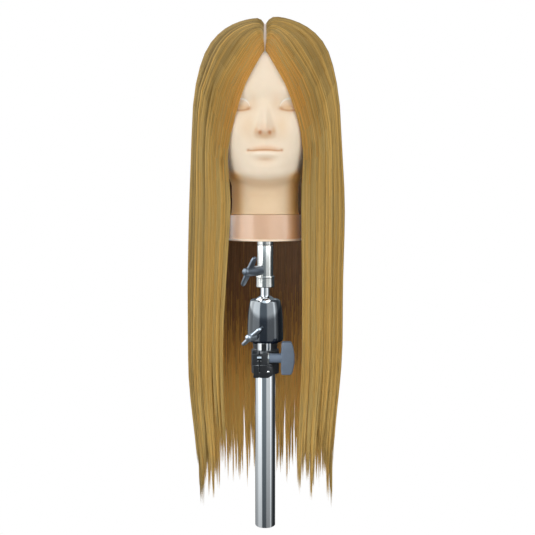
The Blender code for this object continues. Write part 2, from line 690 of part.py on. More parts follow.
def shell_from(name, outer, inner, body, finish):
    """Closes two matching grids of points into one solid."""
    mesh = bmesh.new()
    rows = len(outer)
    columns = len(outer[0])
    faces = []
    for grid in (outer, inner):
        faces.append([[mesh.verts.new(point) for point in row] for row in grid])
    for grid in faces:
        for i in range(rows - 1):
            for j in range(columns - 1):
                mesh.faces.new((grid[i][j], grid[i + 1][j], grid[i + 1][j + 1], grid[i][j + 1]))
    rim = [(i, 0) for i in range(rows)] + [(rows - 1, j) for j in range(1, columns)]
    rim += [(i, columns - 1) for i in range(rows - 2, -1, -1)] + [(0, j) for j in range(columns - 2, 0, -1)]
    for (a, b), (c, d) in zip(rim, rim[1:] + rim[:1]):
        mesh.faces.new((faces[0][a][b], faces[0][c][d], faces[1][c][d], faces[1][a][b]))
    return finish_mesh(name, mesh, body, finish, smooth=60)


def make_crown(name, side, body, finish):
    """One half of the hair on the skull, from the parting down to the level where it hangs."""
    columns = 12
    rows = 9
    outer = []
    inner = []
    for i in range(columns + 1):
        share = i / columns
        line_out = []
        line_in = []
        for j in range(rows + 1):
            fall = 0.002 + (fall_to(share, CROWN_HEM) - 0.002) * (j / rows) ** 1.3
            top = clear_of_head(drape(share, fall, side), SKULL_CLEAR + CROWN_THIN)
            low = (top[0] * 0.9, top[1] * 0.9, max(top[2] - CROWN_THIN, CROWN_HEM))
            line_out.append(top)
            line_in.append(clear_of_head(low, SKULL_CLEAR))
        outer.append(line_out)
        inner.append(line_in)
    shell_from(name, outer, inner, body, finish)


def curtain_point(share, side, height):
    """The hair's outer surface at a height: draped over the head above, hanging straight below."""
    if height > drape_shape(share)[1]:
        point = drape(share, fall_to(share, height), side)
        return clear_of_head(point, SKULL_CLEAR + HAIR_THICK * 0.6)
    x, y = hanging_point(share, side)
    return x * side, y, height


def make_panel(name, places, bottom, body, finish):
    """A hanging section of hair through (share, side) places, thinner towards its ends."""
    top = CROWN_HEM - 2 * GAP
    heights = [top, 535 * MM, 510 * MM, 480 * MM, 300 * MM, bottom]
    outer = []
    inner = []
    for share, side in places:
        line_out = []
        line_in = []
        for height in heights:
            x, y, z = curtain_point(share, side, height)
            thick = HAIR_THICK * (0.4 + 0.6 * (height - bottom) / (top - bottom))
            keep = 1 - thick / math.hypot(x, y)
            line_out.append((x, y, z))
            line_in.append(clear_of_head((x * keep, y * keep, z), SKULL_CLEAR))
        outer.append(line_out)
        inner.append(line_in)
    shell_from(name, outer, inner, body, finish)


def shares(start, stop, count, side):
    return [(start + (stop - start) * k / count, side) for k in range(count + 1)]


def make_hair(body):
    hair = material("hair", (0.42, 0.30, 0.13), 0.45)
    fringe = material("fringe_hair", (0.50, 0.31, 0.10), 0.45)
    for word, side in (("left", -1), ("right", 1)):
        make_crown("hair_crown_" + word, side, body, hair)
        make_panel("hair_front_" + word, shares(0.0, 0.16, 4, side), HAIR_END_SIDE, body, fringe)
        make_panel("hair_side_" + word, shares(0.175, 0.50, 6, side), HAIR_END_SIDE, body, hair)
    round_back = shares(0.515, 1.0, 6, -1) + shares(1.0, 0.515, 6, 1)[1:]
    make_panel("hair_back", round_back, HAIR_END_BACK, body, hair)


def main():
    clear_scene()
    pole = pivot("pole_frame", Matrix.Identity(4))
    clamp_axis = Matrix.Translation((0, CLAMP_AXIS_Y, CLAMP_AXIS_Z))
    washer = pivot("clamp_washer_frame", clamp_axis, pole)
    knob = pivot("tee_knob_frame", clamp_axis, washer)
    bush = pivot("mast_bush_frame", Matrix.Translation((0, 0, MAST_BOTTOM)), pole)
    mast = pivot("mast_frame", Matrix.Identity(4), bush)
    lock_place = screw_frame(LOCK_SCREW)
    lock_pad = pivot("ball_lock_pad_frame", lock_place, mast)
    lock_screw = pivot("ball_lock_screw_frame", lock_place, lock_pad)
    seat = pivot("ball_seat_frame", Matrix.Identity(4), mast)
    head = pivot("head_frame", Matrix.Translation((0, 0, BALL_Z)), seat)
    peg_place = screw_frame(PEG_SCREW)
    peg_pad = pivot("peg_pad_frame", peg_place, head)
    peg_screw = pivot("peg_screw_frame", peg_place, peg_pad)

    make_pole(pole)
    make_clamp(pole)
    make_clamp_fasteners(pole)
    make_clamp_knob(washer, knob)
    make_mast(mast, bush)
    make_housing(mast)
    make_wing_screw("ball_lock", LOCK_SCREW, lock_pad, lock_screw,
                    material("silver_cast", (0.50, 0.52, 0.56), 0.35, 1.0))
    make_ball_seat(seat)
    make_ball_stem(head)
    make_socket(head)
    make_wing_screw("peg", PEG_SCREW, peg_pad, peg_screw,
                    material("dark_cast", (0.16, 0.18, 0.24), 0.35, 0.9))
    make_neck(head)
    make_head(head)
    make_hair(head)


main()
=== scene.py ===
"""Studio scene of the mannequin training head: hair, face and ball-jointed holder on a stand pole.

Metres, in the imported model's frame: +Z up, the face looks along -Y, the pole's cut end is at the origin.
"""

import json
import math

import bmesh
import bpy
import numpy as np
from mathutils import Matrix, Vector

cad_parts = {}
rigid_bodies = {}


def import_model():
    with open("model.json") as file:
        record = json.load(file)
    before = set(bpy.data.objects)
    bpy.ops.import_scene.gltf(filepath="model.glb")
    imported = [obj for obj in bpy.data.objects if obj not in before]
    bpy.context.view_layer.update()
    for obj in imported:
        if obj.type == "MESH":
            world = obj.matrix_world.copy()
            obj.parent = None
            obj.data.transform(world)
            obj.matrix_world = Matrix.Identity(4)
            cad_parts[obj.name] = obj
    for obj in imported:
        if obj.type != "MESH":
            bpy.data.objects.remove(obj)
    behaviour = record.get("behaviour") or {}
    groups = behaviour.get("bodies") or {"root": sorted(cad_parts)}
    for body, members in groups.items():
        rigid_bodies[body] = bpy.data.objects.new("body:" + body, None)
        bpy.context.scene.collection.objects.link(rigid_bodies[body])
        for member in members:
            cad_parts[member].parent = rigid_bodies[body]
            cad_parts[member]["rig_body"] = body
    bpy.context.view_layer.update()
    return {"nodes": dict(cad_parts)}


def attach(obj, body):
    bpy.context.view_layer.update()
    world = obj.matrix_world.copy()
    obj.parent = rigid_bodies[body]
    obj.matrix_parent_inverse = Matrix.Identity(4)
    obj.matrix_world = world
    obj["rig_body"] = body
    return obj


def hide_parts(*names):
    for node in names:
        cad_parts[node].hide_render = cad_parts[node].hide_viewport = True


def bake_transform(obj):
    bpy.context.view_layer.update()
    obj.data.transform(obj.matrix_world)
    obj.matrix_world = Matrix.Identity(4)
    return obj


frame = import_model()

MM = 0.001
SEED = 7
GAP = 0.3 * MM  # round a part in its hole

# Camera
CAMERA_PLACE = (0.0032, -1.05, 0.440)
CAMERA_PITCH = 4.1
CAMERA_LENS = 51.2

# Pole, clamp and knob
POLE_R = 14 * MM
MAST_R = 11 * MM
POLE_TOP = 246 * MM
CLAMP_BOTTOM = 218 * MM
CLAMP_SHELF = 250 * MM
CLAMP_TOP = 260 * MM
CLAMP_R = 19.3 * MM
LUG_FRONT = -35.5 * MM
LUG_LEFT = -18 * MM
LUG_RIGHT = 3.5 * MM
SLIT_X = -7.8 * MM
SLIT_WIDTH = 2.4 * MM
CLAMP_AXIS = (-27.5 * MM, 243.4 * MM)
BOLT_R = 3 * MM
BOLT_HOLE = BOLT_R + GAP
KNOB_NEAR = 21.5 * MM
KNOB_FAR = 40 * MM
KNOB_TIP = 22.5 * MM
KNOB_THICK = 13 * MM

# Ball joint and peg socket
BALL_Z = 310 * MM
BALL_R = 17 * MM
STEM_R = 6.25 * MM
STEM_TOP = 349.5 * MM
HOUSING_BOTTOM = 262 * MM
HOUSING_TOP = 321 * MM
HOUSING_BORE_R = 20.5 * MM
COLLAR_BOTTOM = 337.5 * MM
COLLAR_TOP = 353 * MM
COLLAR_R = 12.6 * MM
SOCKET_R = 11 * MM
SOCKET_BORE_R = 8.3 * MM
SOCKET_TOP = 440 * MM
GROOVE_Z = 396 * MM

# Wing screws: the angle runs from straight ahead towards the left
WING_THICK = 4 * MM
PEG_SCREW = {"angle": 36, "z": 361.5 * MM, "wall": SOCKET_R, "wings": 38 * MM, "end": 48 * MM,
             "hub": 6.8 * MM, "reach": 23.5 * MM, "turn": -28}
LOCK_SCREW = {"angle": 34, "z": 272.3 * MM, "wall": 25 * MM, "wings": 33.5 * MM, "end": 44.5 * MM,
              "hub": 5.6 * MM, "reach": 20.5 * MM, "turn": -50}
STUD_R = 3.4 * MM
STUD_HOLE = STUD_R + GAP

# Neck ring
RING_BOTTOM = 402.5 * MM
RING_TOP = 437.5 * MM
RING_R = 50 * MM

# Head: height, half width, depth in front of the axis, depth behind it
HEAD_ROWS = np.array([
    (437.8, 46.8, 46.8, 46.8), (442, 46, 46, 46), (462, 45.5, 46, 46.5), (474, 46, 53, 48.5),
    (482, 48.5, 82, 53), (495, 54, 91, 62), (510, 60, 93.5, 70), (530, 65, 94, 80),
    (550, 69, 93, 88), (575, 73, 91, 94), (605, 75.5, 92.5, 96), (635, 73, 88, 93),
    (660, 63, 73, 79), (678, 46, 52, 58), (688, 25, 28, 33), (691, 4, 4, 4),
])
HEAD_POWER = 2.3

# Plain colours, sRGB
SKIN_CREAM = (239, 221, 197)
RING_PEACH = (214, 174, 142)
# Painted warm light: the neck ring's sides coloured as if lit orange by the hair beside them
RING_SIDE_HAIR_GLOW = (252, 182, 112)
RING_FOOT = (252, 226, 198)

# Hair: half widths, face opening and hanging lengths
HAIR_LEFT = 105.5 * MM
HAIR_RIGHT = 109.5 * MM
HAIR_BACK = 109 * MM
HAIR_FRONT = 58 * MM
OPENING = 48 * MM
LOBE_RISE = 9 * MM
PARTING = 1.8 * MM
HAIR_DEPTH = 8.5 * MM
LOCKS = 16
WISPS_PER_LOCK = 3
STRANDS_PER_SIDE = 5400
FALL_POINTS = 15
HANG_POINTS = 13
STRAND_R = 0.26 * MM
SPLIT_AT = (0.0, 0.17, 0.34, 0.51, 0.68, 0.84, 1.001)


def smooth_step(value):
    value = np.clip(value, 0.0, 1.0)
    return value * value * (3 - 2 * value)


def linear(colour):
    """An sRGB colour in 0 to 255 as linear red, green and blue."""
    levels = np.array(colour, float) / 255
    return np.where(levels <= 0.04045, levels / 12.92, ((levels + 0.055) / 1.055) ** 2.4)


def add_object(name, data):
    made = bpy.data.objects.new(name, data)
    bpy.context.scene.collection.objects.link(made)
    return made


# ---- materials ------------------------------------------------------------------------------


def principled(name, colour, roughness, **inputs):
    made = bpy.data.materials.new(name)
    made.use_nodes = True
    shader = made.node_tree.nodes["Principled BSDF"]
    shader.inputs["Base Color"].default_value = (*colour, 1.0)
    shader.inputs["Roughness"].default_value = roughness
    for key, value in inputs.items():
        shader.inputs[key.replace("_", " ")].default_value = value
    return made


def new_node(tree, kind):
    return tree.nodes.new("ShaderNode" + kind)


def math_node(tree, operation, first, second, third=None):
    """A maths node; each argument is a number or another node's output."""
    made = new_node(tree, "Math")
    made.operation = operation
    for slot, value in enumerate((first, second, third)):
        if value is None:
            continue
        if isinstance(value, (int, float)):
            made.inputs[slot].default_value = value
        else:
            tree.links.new(value, made.inputs[slot])
    return made.outputs[0]


def fill_ramp(ramp, stops):
    """Sets a colour ramp's stops: (place, linear colour). A ramp holds at most 32."""
    elements = ramp.color_ramp.elements
    while len(elements) < len(stops):
        elements.new(1.0)
    for element, (spot, colour) in zip(elements, stops):
        element.position = spot
        element.color = (*colour, 1.0)


def noise(tree, scale, detail=3.0, stretch=(1, 1, 1)):
    """Noise in metres of the piece itself, stretched along its axes."""
    where = new_node(tree, "TexCoord")
    place = new_node(tree, "Mapping")
    place.inputs["Scale"].default_value = stretch
    tree.links.new(where.outputs["Object"], place.inputs["Vector"])
    made = new_node(tree, "TexNoise")
    made.inputs["Scale"].default_value = scale
    made.inputs["Detail"].default_value = detail
    tree.links.new(place.outputs[0], made.inputs["Vector"])
    return made.outputs["Fac"]


def add_bump(tree, strength, distance, height):
    bump = new_node(tree, "Bump")
    bump.inputs["Strength"].default_value = strength
    bump.inputs["Distance"].default_value = distance
    tree.links.new(height, bump.inputs["Height"])
    tree.links.new(bump.outputs[0], tree.nodes["Principled BSDF"].inputs["Normal"])


def mix_shaders(tree, factor, first, second):
    mix = new_node(tree, "MixShader")
    for slot, value in enumerate((factor, first, second)):
        tree.links.new(value, mix.inputs[slot])
    return mix.outputs[0]


def finish(name, colour, roughness, grain=700, relief=0.0, spread=0.12, stretch=(1, 1, 1), **inputs):
    """A Principled material whose colour and gloss drift with noise, with a fine grain on its surface."""
    made = principled(name, colour, roughness, **inputs)
    tree = made.node_tree
    shader = tree.nodes["Principled BSDF"]
    drift = noise(tree, 60, 4, stretch)
    ramp = new_node(tree, "ValToRGB")
    dark = tuple(max(0.0, c * (1 - spread)) for c in colour)
    light = tuple(min(1.0, c * (1 + spread)) for c in colour)
    fill_ramp(ramp, [(0.3, dark), (0.7, light)])
    tree.links.new(drift, ramp.inputs[0])
    tree.links.new(ramp.outputs["Color"], shader.inputs["Base Color"])
    gloss = math_node(tree, "MULTIPLY_ADD", noise(tree, 140, 3, stretch), roughness * 0.5, roughness * 0.75)
    tree.links.new(gloss, shader.inputs["Roughness"])
    if relief:
        add_bump(tree, relief, 0.1 * MM, noise(tree, grain, 2, stretch))
    return made


# ---- stage ----------------------------------------------------------------------------------


def make_camera():
    data = bpy.data.cameras.new("camera")
    data.lens = CAMERA_LENS
    data.sensor_width = 36
    camera = add_object("camera", data)
    camera.location = CAMERA_PLACE
    camera.rotation_euler = (math.radians(90 - CAMERA_PITCH), 0, 0)
    bpy.context.scene.camera = camera


def area_light(name, place, target, size, power, colour=(1, 1, 1)):
    data = bpy.data.lights.new(name, "AREA")
    data.shape = "RECTANGLE"
    data.size, data.size_y = size
    data.energy = power
    data.color = colour
    lamp = add_object(name, data)
    lamp.location = place
    way = Vector(target) - Vector(place)
    lamp.rotation_euler = way.to_track_quat("-Z", "Y").to_euler()
    lamp.visible_glossy = False


def softbox_world(world):
    """White to the camera, even soft light for the surfaces, and two soft boxes for what is glossy."""
    world.use_nodes = True
    tree = world.node_tree
    tree.nodes.clear()
    link = tree.links.new
    where = new_node(tree, "TexCoord")
    split = new_node(tree, "SeparateXYZ")
    link(where.outputs["Generated"], split.inputs[0])
    ahead = math_node(tree, "MULTIPLY", split.outputs["Y"], -1)
    turn = math_node(tree, "ARCTAN2", split.outputs["X"], ahead)
    share = math_node(tree, "MULTIPLY_ADD", turn, 0.5 / math.pi, 0.5)
    ramp = new_node(tree, "ValToRGB")
    link(share, ramp.inputs[0])
    bands = [(0.0, 0.05), (0.09, 0.12), (0.13, 0.85), (0.24, 0.95), (0.26, 1.6), (0.385, 1.6),
             (0.405, 0.25), (0.525, 0.25), (0.545, 0.8), (0.665, 0.8), (0.672, 1.6), (0.70, 1.6),
             (0.712, 0.6), (0.745, 0.3), (0.77, 0.06), (1.0, 0.05)]
    cool = {True: (0.84, 1.0, 1.10), False: (0.95, 1.0, 1.02)}
    fill_ramp(ramp, [(at, tuple(level * c for c in cool[level < 0.3])) for at, level in bands])
    above = math_node(tree, "MULTIPLY_ADD", split.outputs["Z"], 20, 0.1)
    above.node.use_clamp = True
    below = math_node(tree, "MULTIPLY_ADD", split.outputs["Z"], 1.6, 1.2)
    below.node.use_clamp = True
    lift = math_node(tree, "MULTIPLY", math_node(tree, "MULTIPLY_ADD", above, 2.6, 0.9), below)
    boxes = new_node(tree, "Background")
    link(ramp.outputs["Color"], boxes.inputs["Color"])
    link(lift, boxes.inputs["Strength"])
    even = new_node(tree, "Background")
    even.inputs["Color"].default_value = (0.97, 0.99, 1.0, 1)
    even.inputs["Strength"].default_value = 0.75
    seen = new_node(tree, "Background")
    seen.inputs["Color"].default_value = (1, 1, 1, 1)
    path = new_node(tree, "LightPath")
    light = mix_shaders(tree, path.outputs["Is Glossy Ray"], even.outputs[0], boxes.outputs[0])
    mix = mix_shaders(tree, path.outputs["Is Camera Ray"], light, seen.outputs[0])
    output = new_node(tree, "OutputWorld")
    link(mix, output.inputs["Surface"])


def floor_material():
    """Plain white to the camera, and no glare thrown up on to the part."""
    made = bpy.data.materials.new("floor_white")
    made.use_nodes = True
    tree = made.node_tree
    tree.nodes.clear()
    seen = new_node(tree, "Emission")
    clear = new_node(tree, "BsdfTransparent")
    path = new_node(tree, "LightPath")
    mix = mix_shaders(tree, path.outputs["Is Camera Ray"], clear.outputs[0], seen.outputs[0])
    output = new_node(tree, "OutputMaterial")
    tree.links.new(mix, output.inputs["Surface"])
    return made


def make_stage():
    scene = bpy.context.scene
    scene.view_settings.view_transform = "Standard"
    scene.world = bpy.data.worlds.new("studio")
    softbox_world(scene.world)
    area_light("key_left", (-1.2, -1.5, 1.3), (0, 0, 0.45), (0.8, 1.2), 6.2)
    area_light("key_right", (1.2, -1.5, 1.2), (0, 0, 0.45), (0.8, 1.2), 4.9)
    area_light("back_fill", (0.3, 2.2, 0.9), (0, 0, 0.45), (1.6, 1.2), 16)
    area_light("front_fill", (0.15, -2.0, 0.28), (0, 0, 0.45), (1.2, 0.8), 5.2)

    reach = 30
    data = bpy.data.meshes.new("floor")
    data.from_pydata([(-reach, -reach, 0), (reach, -reach, 0), (reach, reach, 0), (-reach, reach, 0)],
                     [], [(0, 1, 2, 3)])
    data.materials.append(floor_material())
    floor = add_object("floor", data)
    floor.location.z = -0.5 * MM


# ---- head sizes -----------------------------------------------------------------------------


def head_size(height):
    """Half width, front depth and back depth of the head at heights in metres, smoothly."""
    level = np.asarray(height) / MM
    knots = HEAD_ROWS[:, 0]
    result = []
    for values in HEAD_ROWS.T[1:]:
        slopes = np.gradient(values, knots)
        spot = np.clip(np.searchsorted(knots, level) - 1, 0, len(knots) - 2)
        width = knots[spot + 1] - knots[spot]
        t = np.clip((level - knots[spot]) / width, 0, 1)
        low, high = values[spot], values[spot + 1]
        rise = (high - low) / width
        start = np.where(np.abs(slopes[spot]) > 3 * np.abs(rise), 3 * rise, slopes[spot])
        stop = np.where(np.abs(slopes[spot + 1]) > 3 * np.abs(rise), 3 * rise, slopes[spot + 1])
        cubic = ((2 * t ** 3 - 3 * t ** 2 + 1) * low + (t ** 3 - 2 * t ** 2 + t) * width * start
                 + (-2 * t ** 3 + 3 * t ** 2) * high + (t ** 3 - t ** 2) * width * stop)
        result.append(np.maximum(cubic, 0.5) * MM)
    return result


# ---- turned and cast hardware ---------------------------------------------------------------


def rounded(profile, radius, closed=True):
    """A turned profile with its corners rounded off; points on the axis stay as they are."""
    made = []
    count = len(profile)
    for k, point in enumerate(profile):
        here = Vector(point)
        if here.x == 0 or (not closed and k in (0, count - 1)):
            made.append(tuple(here))
            continue
        back = Vector(profile[k - 1]) - here
        on = Vector(profile[(k + 1) % count]) - here
        if abs(math.pi - back.angle(on)) < math.radians(12):
            made.append(tuple(here))
            continue
        reach = min(radius, 0.4 * back.length, 0.4 * on.length)
        start = here + back.normalized() * reach
        end = here + on.normalized() * reach
        for step in range(5):
            t = step / 4
            made.append(tuple(start * (1 - t) ** 2 + here * 2 * t * (1 - t) + end * t ** 2))
    return made


def turned(profile, sides=96, ring=False):
    """A mesh turned about Z from (radius, height) points; a ring's profile closes on itself."""
    mesh = bmesh.new()
    loops = []
    for radius, height in profile:
        if radius == 0:
            loops.append([mesh.verts.new((0, 0, height))] * sides)
            continue
        angles = [2 * math.pi * k / sides for k in range(sides)]
        loops.append([mesh.verts.new((radius * math.cos(a), radius * math.sin(a), height)) for a in angles])
    pairs = list(zip(loops, loops[1:]))
    if ring:
        pairs.append((loops[-1], loops[0]))
    for low, high in pairs:
        for k in range(sides):
            n = (k + 1) % sides
            corners = [low[k], low[n], high[n], high[k]]
            corners = [v for i, v in enumerate(corners) if v is not corners[i - 1]]
            if len(corners) > 2:
                mesh.faces.new(corners)
    bmesh.ops.recalc_face_normals(mesh, faces=mesh.faces)
    return mesh


def rod(radius, low, high, sides=96):
    return turned([(0, low), (radius, low), (radius, high), (0, high)], sides)


def prism(outline, thickness, bevel):
    """A bevelled plate: an outline in X and Z, as thick as asked along Y."""
    mesh = bmesh.new()
    front = [mesh.verts.new((x, -thickness / 2, z)) for x, z in outline]
    back = [mesh.verts.new((x, thickness / 2, z)) for x, z in outline]
    mesh.faces.new(front)
    mesh.faces.new(back[::-1])
    for k in range(len(outline)):
        n = (k + 1) % len(outline)
        mesh.faces.new((front[k], back[k], back[n], front[n]))
    bmesh.ops.recalc_face_normals(mesh, faces=mesh.faces)
    rims = [e for e in mesh.edges if e.calc_face_angle(0) > math.radians(40)]
    bmesh.ops.bevel(mesh, geom=rims, offset=bevel, segments=3, profile=0.5, affect="EDGES",
                    clamp_overlap=True)
    return mesh


def block(low, high):
    """A plain box used only to cut with."""
    mesh = bmesh.new()
    bmesh.ops.create_cube(mesh, size=1)
    for vert in mesh.verts:
        vert.co = [low[i] + (vert.co[i] + 0.5) * (high[i] - low[i]) for i in range(3)]
    return mesh


def along_x(mesh, y, z):
    mesh.transform(Matrix.Translation((0, y, z)) @ Matrix.Rotation(math.radians(90), 4, "Y"))
    return mesh


def as_object(name, mesh):
    data = bpy.data.meshes.new(name)
    mesh.to_mesh(data)
    mesh.free()
    return add_object(name, data)


def combine(target, mesh, operation):
    """Joins a mesh to an object, or cuts it away, for good."""
    tool = as_object("tool", mesh)
    step = target.modifiers.new("combine", "BOOLEAN")
    step.operation = operation
    step.object = tool
    bpy.context.view_layer.update()
    result = bpy.data.meshes.new_from_object(target.evaluated_get(bpy.context.evaluated_depsgraph_get()))
    target.modifiers.clear()
    target.data = result
    bpy.data.objects.remove(tool)


def cut(target, mesh):
    combine(target, mesh, "DIFFERENCE")


def settle(piece, node, finish_slot, *materials, sharp=32):
    """Shades a finished piece, gives it its materials, and puts it in its CAD node's place."""
    piece.data.materials.clear()
    for made in materials:
        piece.data.materials.append(made)
    piece.data.shade_smooth()
    piece.data.set_sharp_from_angle(angle=math.radians(sharp))
    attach(piece, frame["nodes"][node]["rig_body"])
    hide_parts(node)
    return piece


def make_pole(metals):
    outer = [(13 * MM, 0), (POLE_R, 0), (POLE_R, POLE_TOP), (13 * MM, POLE_TOP)]
    settle(as_object("pole_fine", turned(rounded(outer, 0.35 * MM), ring=True)), "pole_tube", "chrome",
           metals["chrome"])
    low, high = 62 * MM, 267 * MM
    inner = [(9.5 * MM, low), (MAST_R, low), (MAST_R, high), (9.5 * MM, high)]
    settle(as_object("mast_fine", turned(rounded(inner, 0.35 * MM), ring=True)), "inner_mast", "chrome",
           metals["chrome"])


def make_clamp(metals):
    """The split clamp: collar, neck and lug block, cut for the pole, the mast, the bolt and the slit."""
    profile = [(0, CLAMP_BOTTOM), (CLAMP_R, CLAMP_BOTTOM), (CLAMP_R, CLAMP_SHELF),
               (16.6 * MM, CLAMP_SHELF + 2 * MM), (17.6 * MM, CLAMP_TOP), (0, CLAMP_TOP)]
    clamp = as_object("clamp_fine", turned(rounded(profile, 0.8 * MM)))
    lug_top = CLAMP_SHELF + 0.6 * MM
    outline = [(LUG_LEFT + 2 * MM, 217.4 * MM), (4 * MM, 217.4 * MM), (10 * MM, 221 * MM),
               (10 * MM, 232 * MM), (LUG_RIGHT, 234 * MM), (LUG_RIGHT, lug_top), (LUG_LEFT, lug_top),
               (LUG_LEFT, 236 * MM),
               (LUG_LEFT + 2 * MM, 234 * MM)]
    lugs = prism(outline, -LUG_FRONT - 8 * MM, 0.9 * MM)
    bmesh.ops.translate(lugs, vec=(0, (LUG_FRONT - 8 * MM) / 2, 0), verts=lugs.verts)
    combine(clamp, lugs, "UNION")
    step = POLE_TOP + 2 * MM
    bore, neck = POLE_R + GAP, MAST_R + 2 * GAP
    cut(clamp, rod(bore, 0.20, step))
    cut(clamp, rod(neck, 0.24, 0.27))
    drill = rod(BOLT_HOLE, -30 * MM, 20 * MM, 32)
    cut(clamp, along_x(drill, *CLAMP_AXIS))
    pocket = rod(6.3 * MM, -30 * MM, -12.5 * MM, 6)
    cut(clamp, along_x(pocket, *CLAMP_AXIS))
    slit_low, slit_high = SLIT_X - SLIT_WIDTH / 2, SLIT_X + SLIT_WIDTH / 2
    cuts = [
        ((slit_low, -0.041, 0.20), (slit_high, -32.5 * MM, 0.27)),
        ((slit_low + 0.05 * MM, -33 * MM, 224 * MM), (slit_high - 0.05 * MM, -30.4 * MM, 0.271)),
        ((slit_low - 0.05 * MM, -31 * MM, 0.199), (slit_high + 0.05 * MM, -16.5 * MM, 0.272)),
        ((-11.4 * MM, -0.042, CLAMP_SHELF + 1 * MM), (-5.2 * MM, -0.004, 0.28)),
        ((1.8 * MM, -0.042, CLAMP_SHELF + 1 * MM), (8.2 * MM, -0.004, 0.28)),
        ((slit_low - 1.9 * MM, -0.040, 239.8 * MM), (slit_high + 1.6 * MM, CLAMP_AXIS[0], 246.9 * MM)),
        ((-0.030, -0.040, 234.4 * MM), (LUG_RIGHT - 1 * MM, LUG_FRONT + 3.4 * MM, 236.8 * MM)),
    ]
    for low, high in cuts:
        cut(clamp, block(low, high))
    clamp.visible_glossy = False
    settle(clamp, "clamp_collar", "black_plastic", metals["black_plastic"])

    nut = turned(rounded([(0, -17.8 * MM), (5.9 * MM, -17.8 * MM), (5.9 * MM, -12.9 * MM), (0, -12.9 * MM)],
                         0.5 * MM), 6)
    nut_piece = as_object("clamp_nut_fine", along_x(nut, *CLAMP_AXIS))
    drill = rod(BOLT_HOLE, -20 * MM, -10 * MM, 32)
    cut(nut_piece, along_x(drill, *CLAMP_AXIS))
    settle(nut_piece, "clamp_nut", "steel", metals["steel"], sharp=20)
    rivet = turned([(0, 0), (1.6 * MM, 0), (1.5 * MM, 0.5 * MM), (1.2 * MM, 0.9 * MM), (0.7 * MM, 1.2 * MM),
                    (0, 1.3 * MM)], 32)
    place = Matrix.Translation((4.5 * MM, LUG_FRONT - 0.3 * MM, 226 * MM))
    rivet.transform(place @ Matrix.Rotation(math.radians(90), 4, "X"))
    settle(as_object("clamp_rivet_fine", rivet), "clamp_rivet", "chrome", metals["chrome"])


def make_knob(metals):
    start = LUG_RIGHT + 2.0 * MM
    neck = [(0, start), (6.5 * MM, start), (6.2 * MM, start + 8 * MM), (6.5 * MM, KNOB_NEAR + 2 * MM),
            (0, KNOB_NEAR + 2 * MM)]
    knob = as_object("tee_knob_fine", along_x(turned(rounded(neck, 0.8 * MM), 64), *CLAMP_AXIS))
    tip = KNOB_TIP
    outline = [(KNOB_NEAR, -tip), (KNOB_FAR - 5 * MM, -tip), (KNOB_FAR - 2.6 * MM, -tip + 4 * MM),
               (KNOB_FAR, -5 * MM), (KNOB_FAR, 5 * MM), (KNOB_FAR - 1.6 * MM, tip - 8 * MM),
               (KNOB_FAR - 4 * MM, tip), (KNOB_NEAR + 1 * MM, tip), (KNOB_NEAR, 6 * MM)]
    bar = prism(rounded(outline, 3 * MM), KNOB_THICK, 2.2 * MM)
    bmesh.ops.translate(bar, vec=(0, *CLAMP_AXIS), verts=bar.verts)
    combine(knob, bar, "UNION")
    bore = rod(BOLT_HOLE, 0, KNOB_NEAR + 6.3 * MM, 32)
    cut(knob, along_x(bore, *CLAMP_AXIS))
    settle(knob, "tee_knob", "grey_plastic", metals["grey_plastic"])


def sphere_arc(radius, start, stop, count):
    """(radius, height) points on a ball about BALL_Z; the angles run from straight down, in degrees."""
    angles = [math.radians(start + (stop - start) * k / count) for k in range(count + 1)]
    return [(max(0.0, radius * math.sin(a)), BALL_Z - radius * math.cos(a)) for a in angles]


def make_ball_joint(metals):
    """The black housing with its scooped rim, and the chrome ball on its stem."""
    rim = HOUSING_TOP
    outer = [(HOUSING_BORE_R, HOUSING_BOTTOM), (22.5 * MM, HOUSING_BOTTOM), (24.2 * MM, 263.2 * MM),
             (25 * MM, 265.5 * MM), (24.9 * MM, 275 * MM), (24.7 * MM, 285 * MM), (24.25 * MM, 294 * MM),
             (23.6 * MM, 302 * MM), (22.95 * MM, 308 * MM), (22.2 * MM, 313 * MM), (20.9 * MM, rim - 2 * MM),
             (18.6 * MM, rim - 0.3 * MM), (17 * MM, rim), (15.4 * MM, rim - 0.6 * MM)]
    socket = sphere_arc(BALL_R + 0.5 * MM, 122, 90, 12)
    ledge = 306.6 * MM
    profile = rounded(outer, 1.2 * MM, closed=False) + socket
    profile += [(socket[-1][0], ledge), (HOUSING_BORE_R, ledge)]
    housing = as_object("ball_housing_fine", turned(profile, ring=True))
    scoop = rod(11 * MM, 0, 30 * MM)
    place = Matrix.Translation((0, -6 * MM, rim + 7.5 * MM))
    scoop.transform(place @ Matrix.Rotation(math.radians(90), 4, "X"))
    cut(housing, scoop)
    hole = rod(STUD_HOLE, 15 * MM, 35 * MM, 32)
    hole.transform(screw_frame(LOCK_SCREW))
    cut(housing, hole)
    settle(housing, "ball_housing", "gloss_black", metals["gloss_black"])

    meet = math.degrees(math.acos(-math.sqrt(BALL_R ** 2 - STEM_R ** 2) / BALL_R))
    stem = [(STEM_R, STEM_TOP - 1 * MM), (STEM_R - 1 * MM, STEM_TOP), (0, STEM_TOP)]
    ball = turned(sphere_arc(BALL_R, 0, meet, 40) + stem)
    settle(as_object("ball_stem_fine", ball), "ball_stem", "chrome", metals["chrome"])


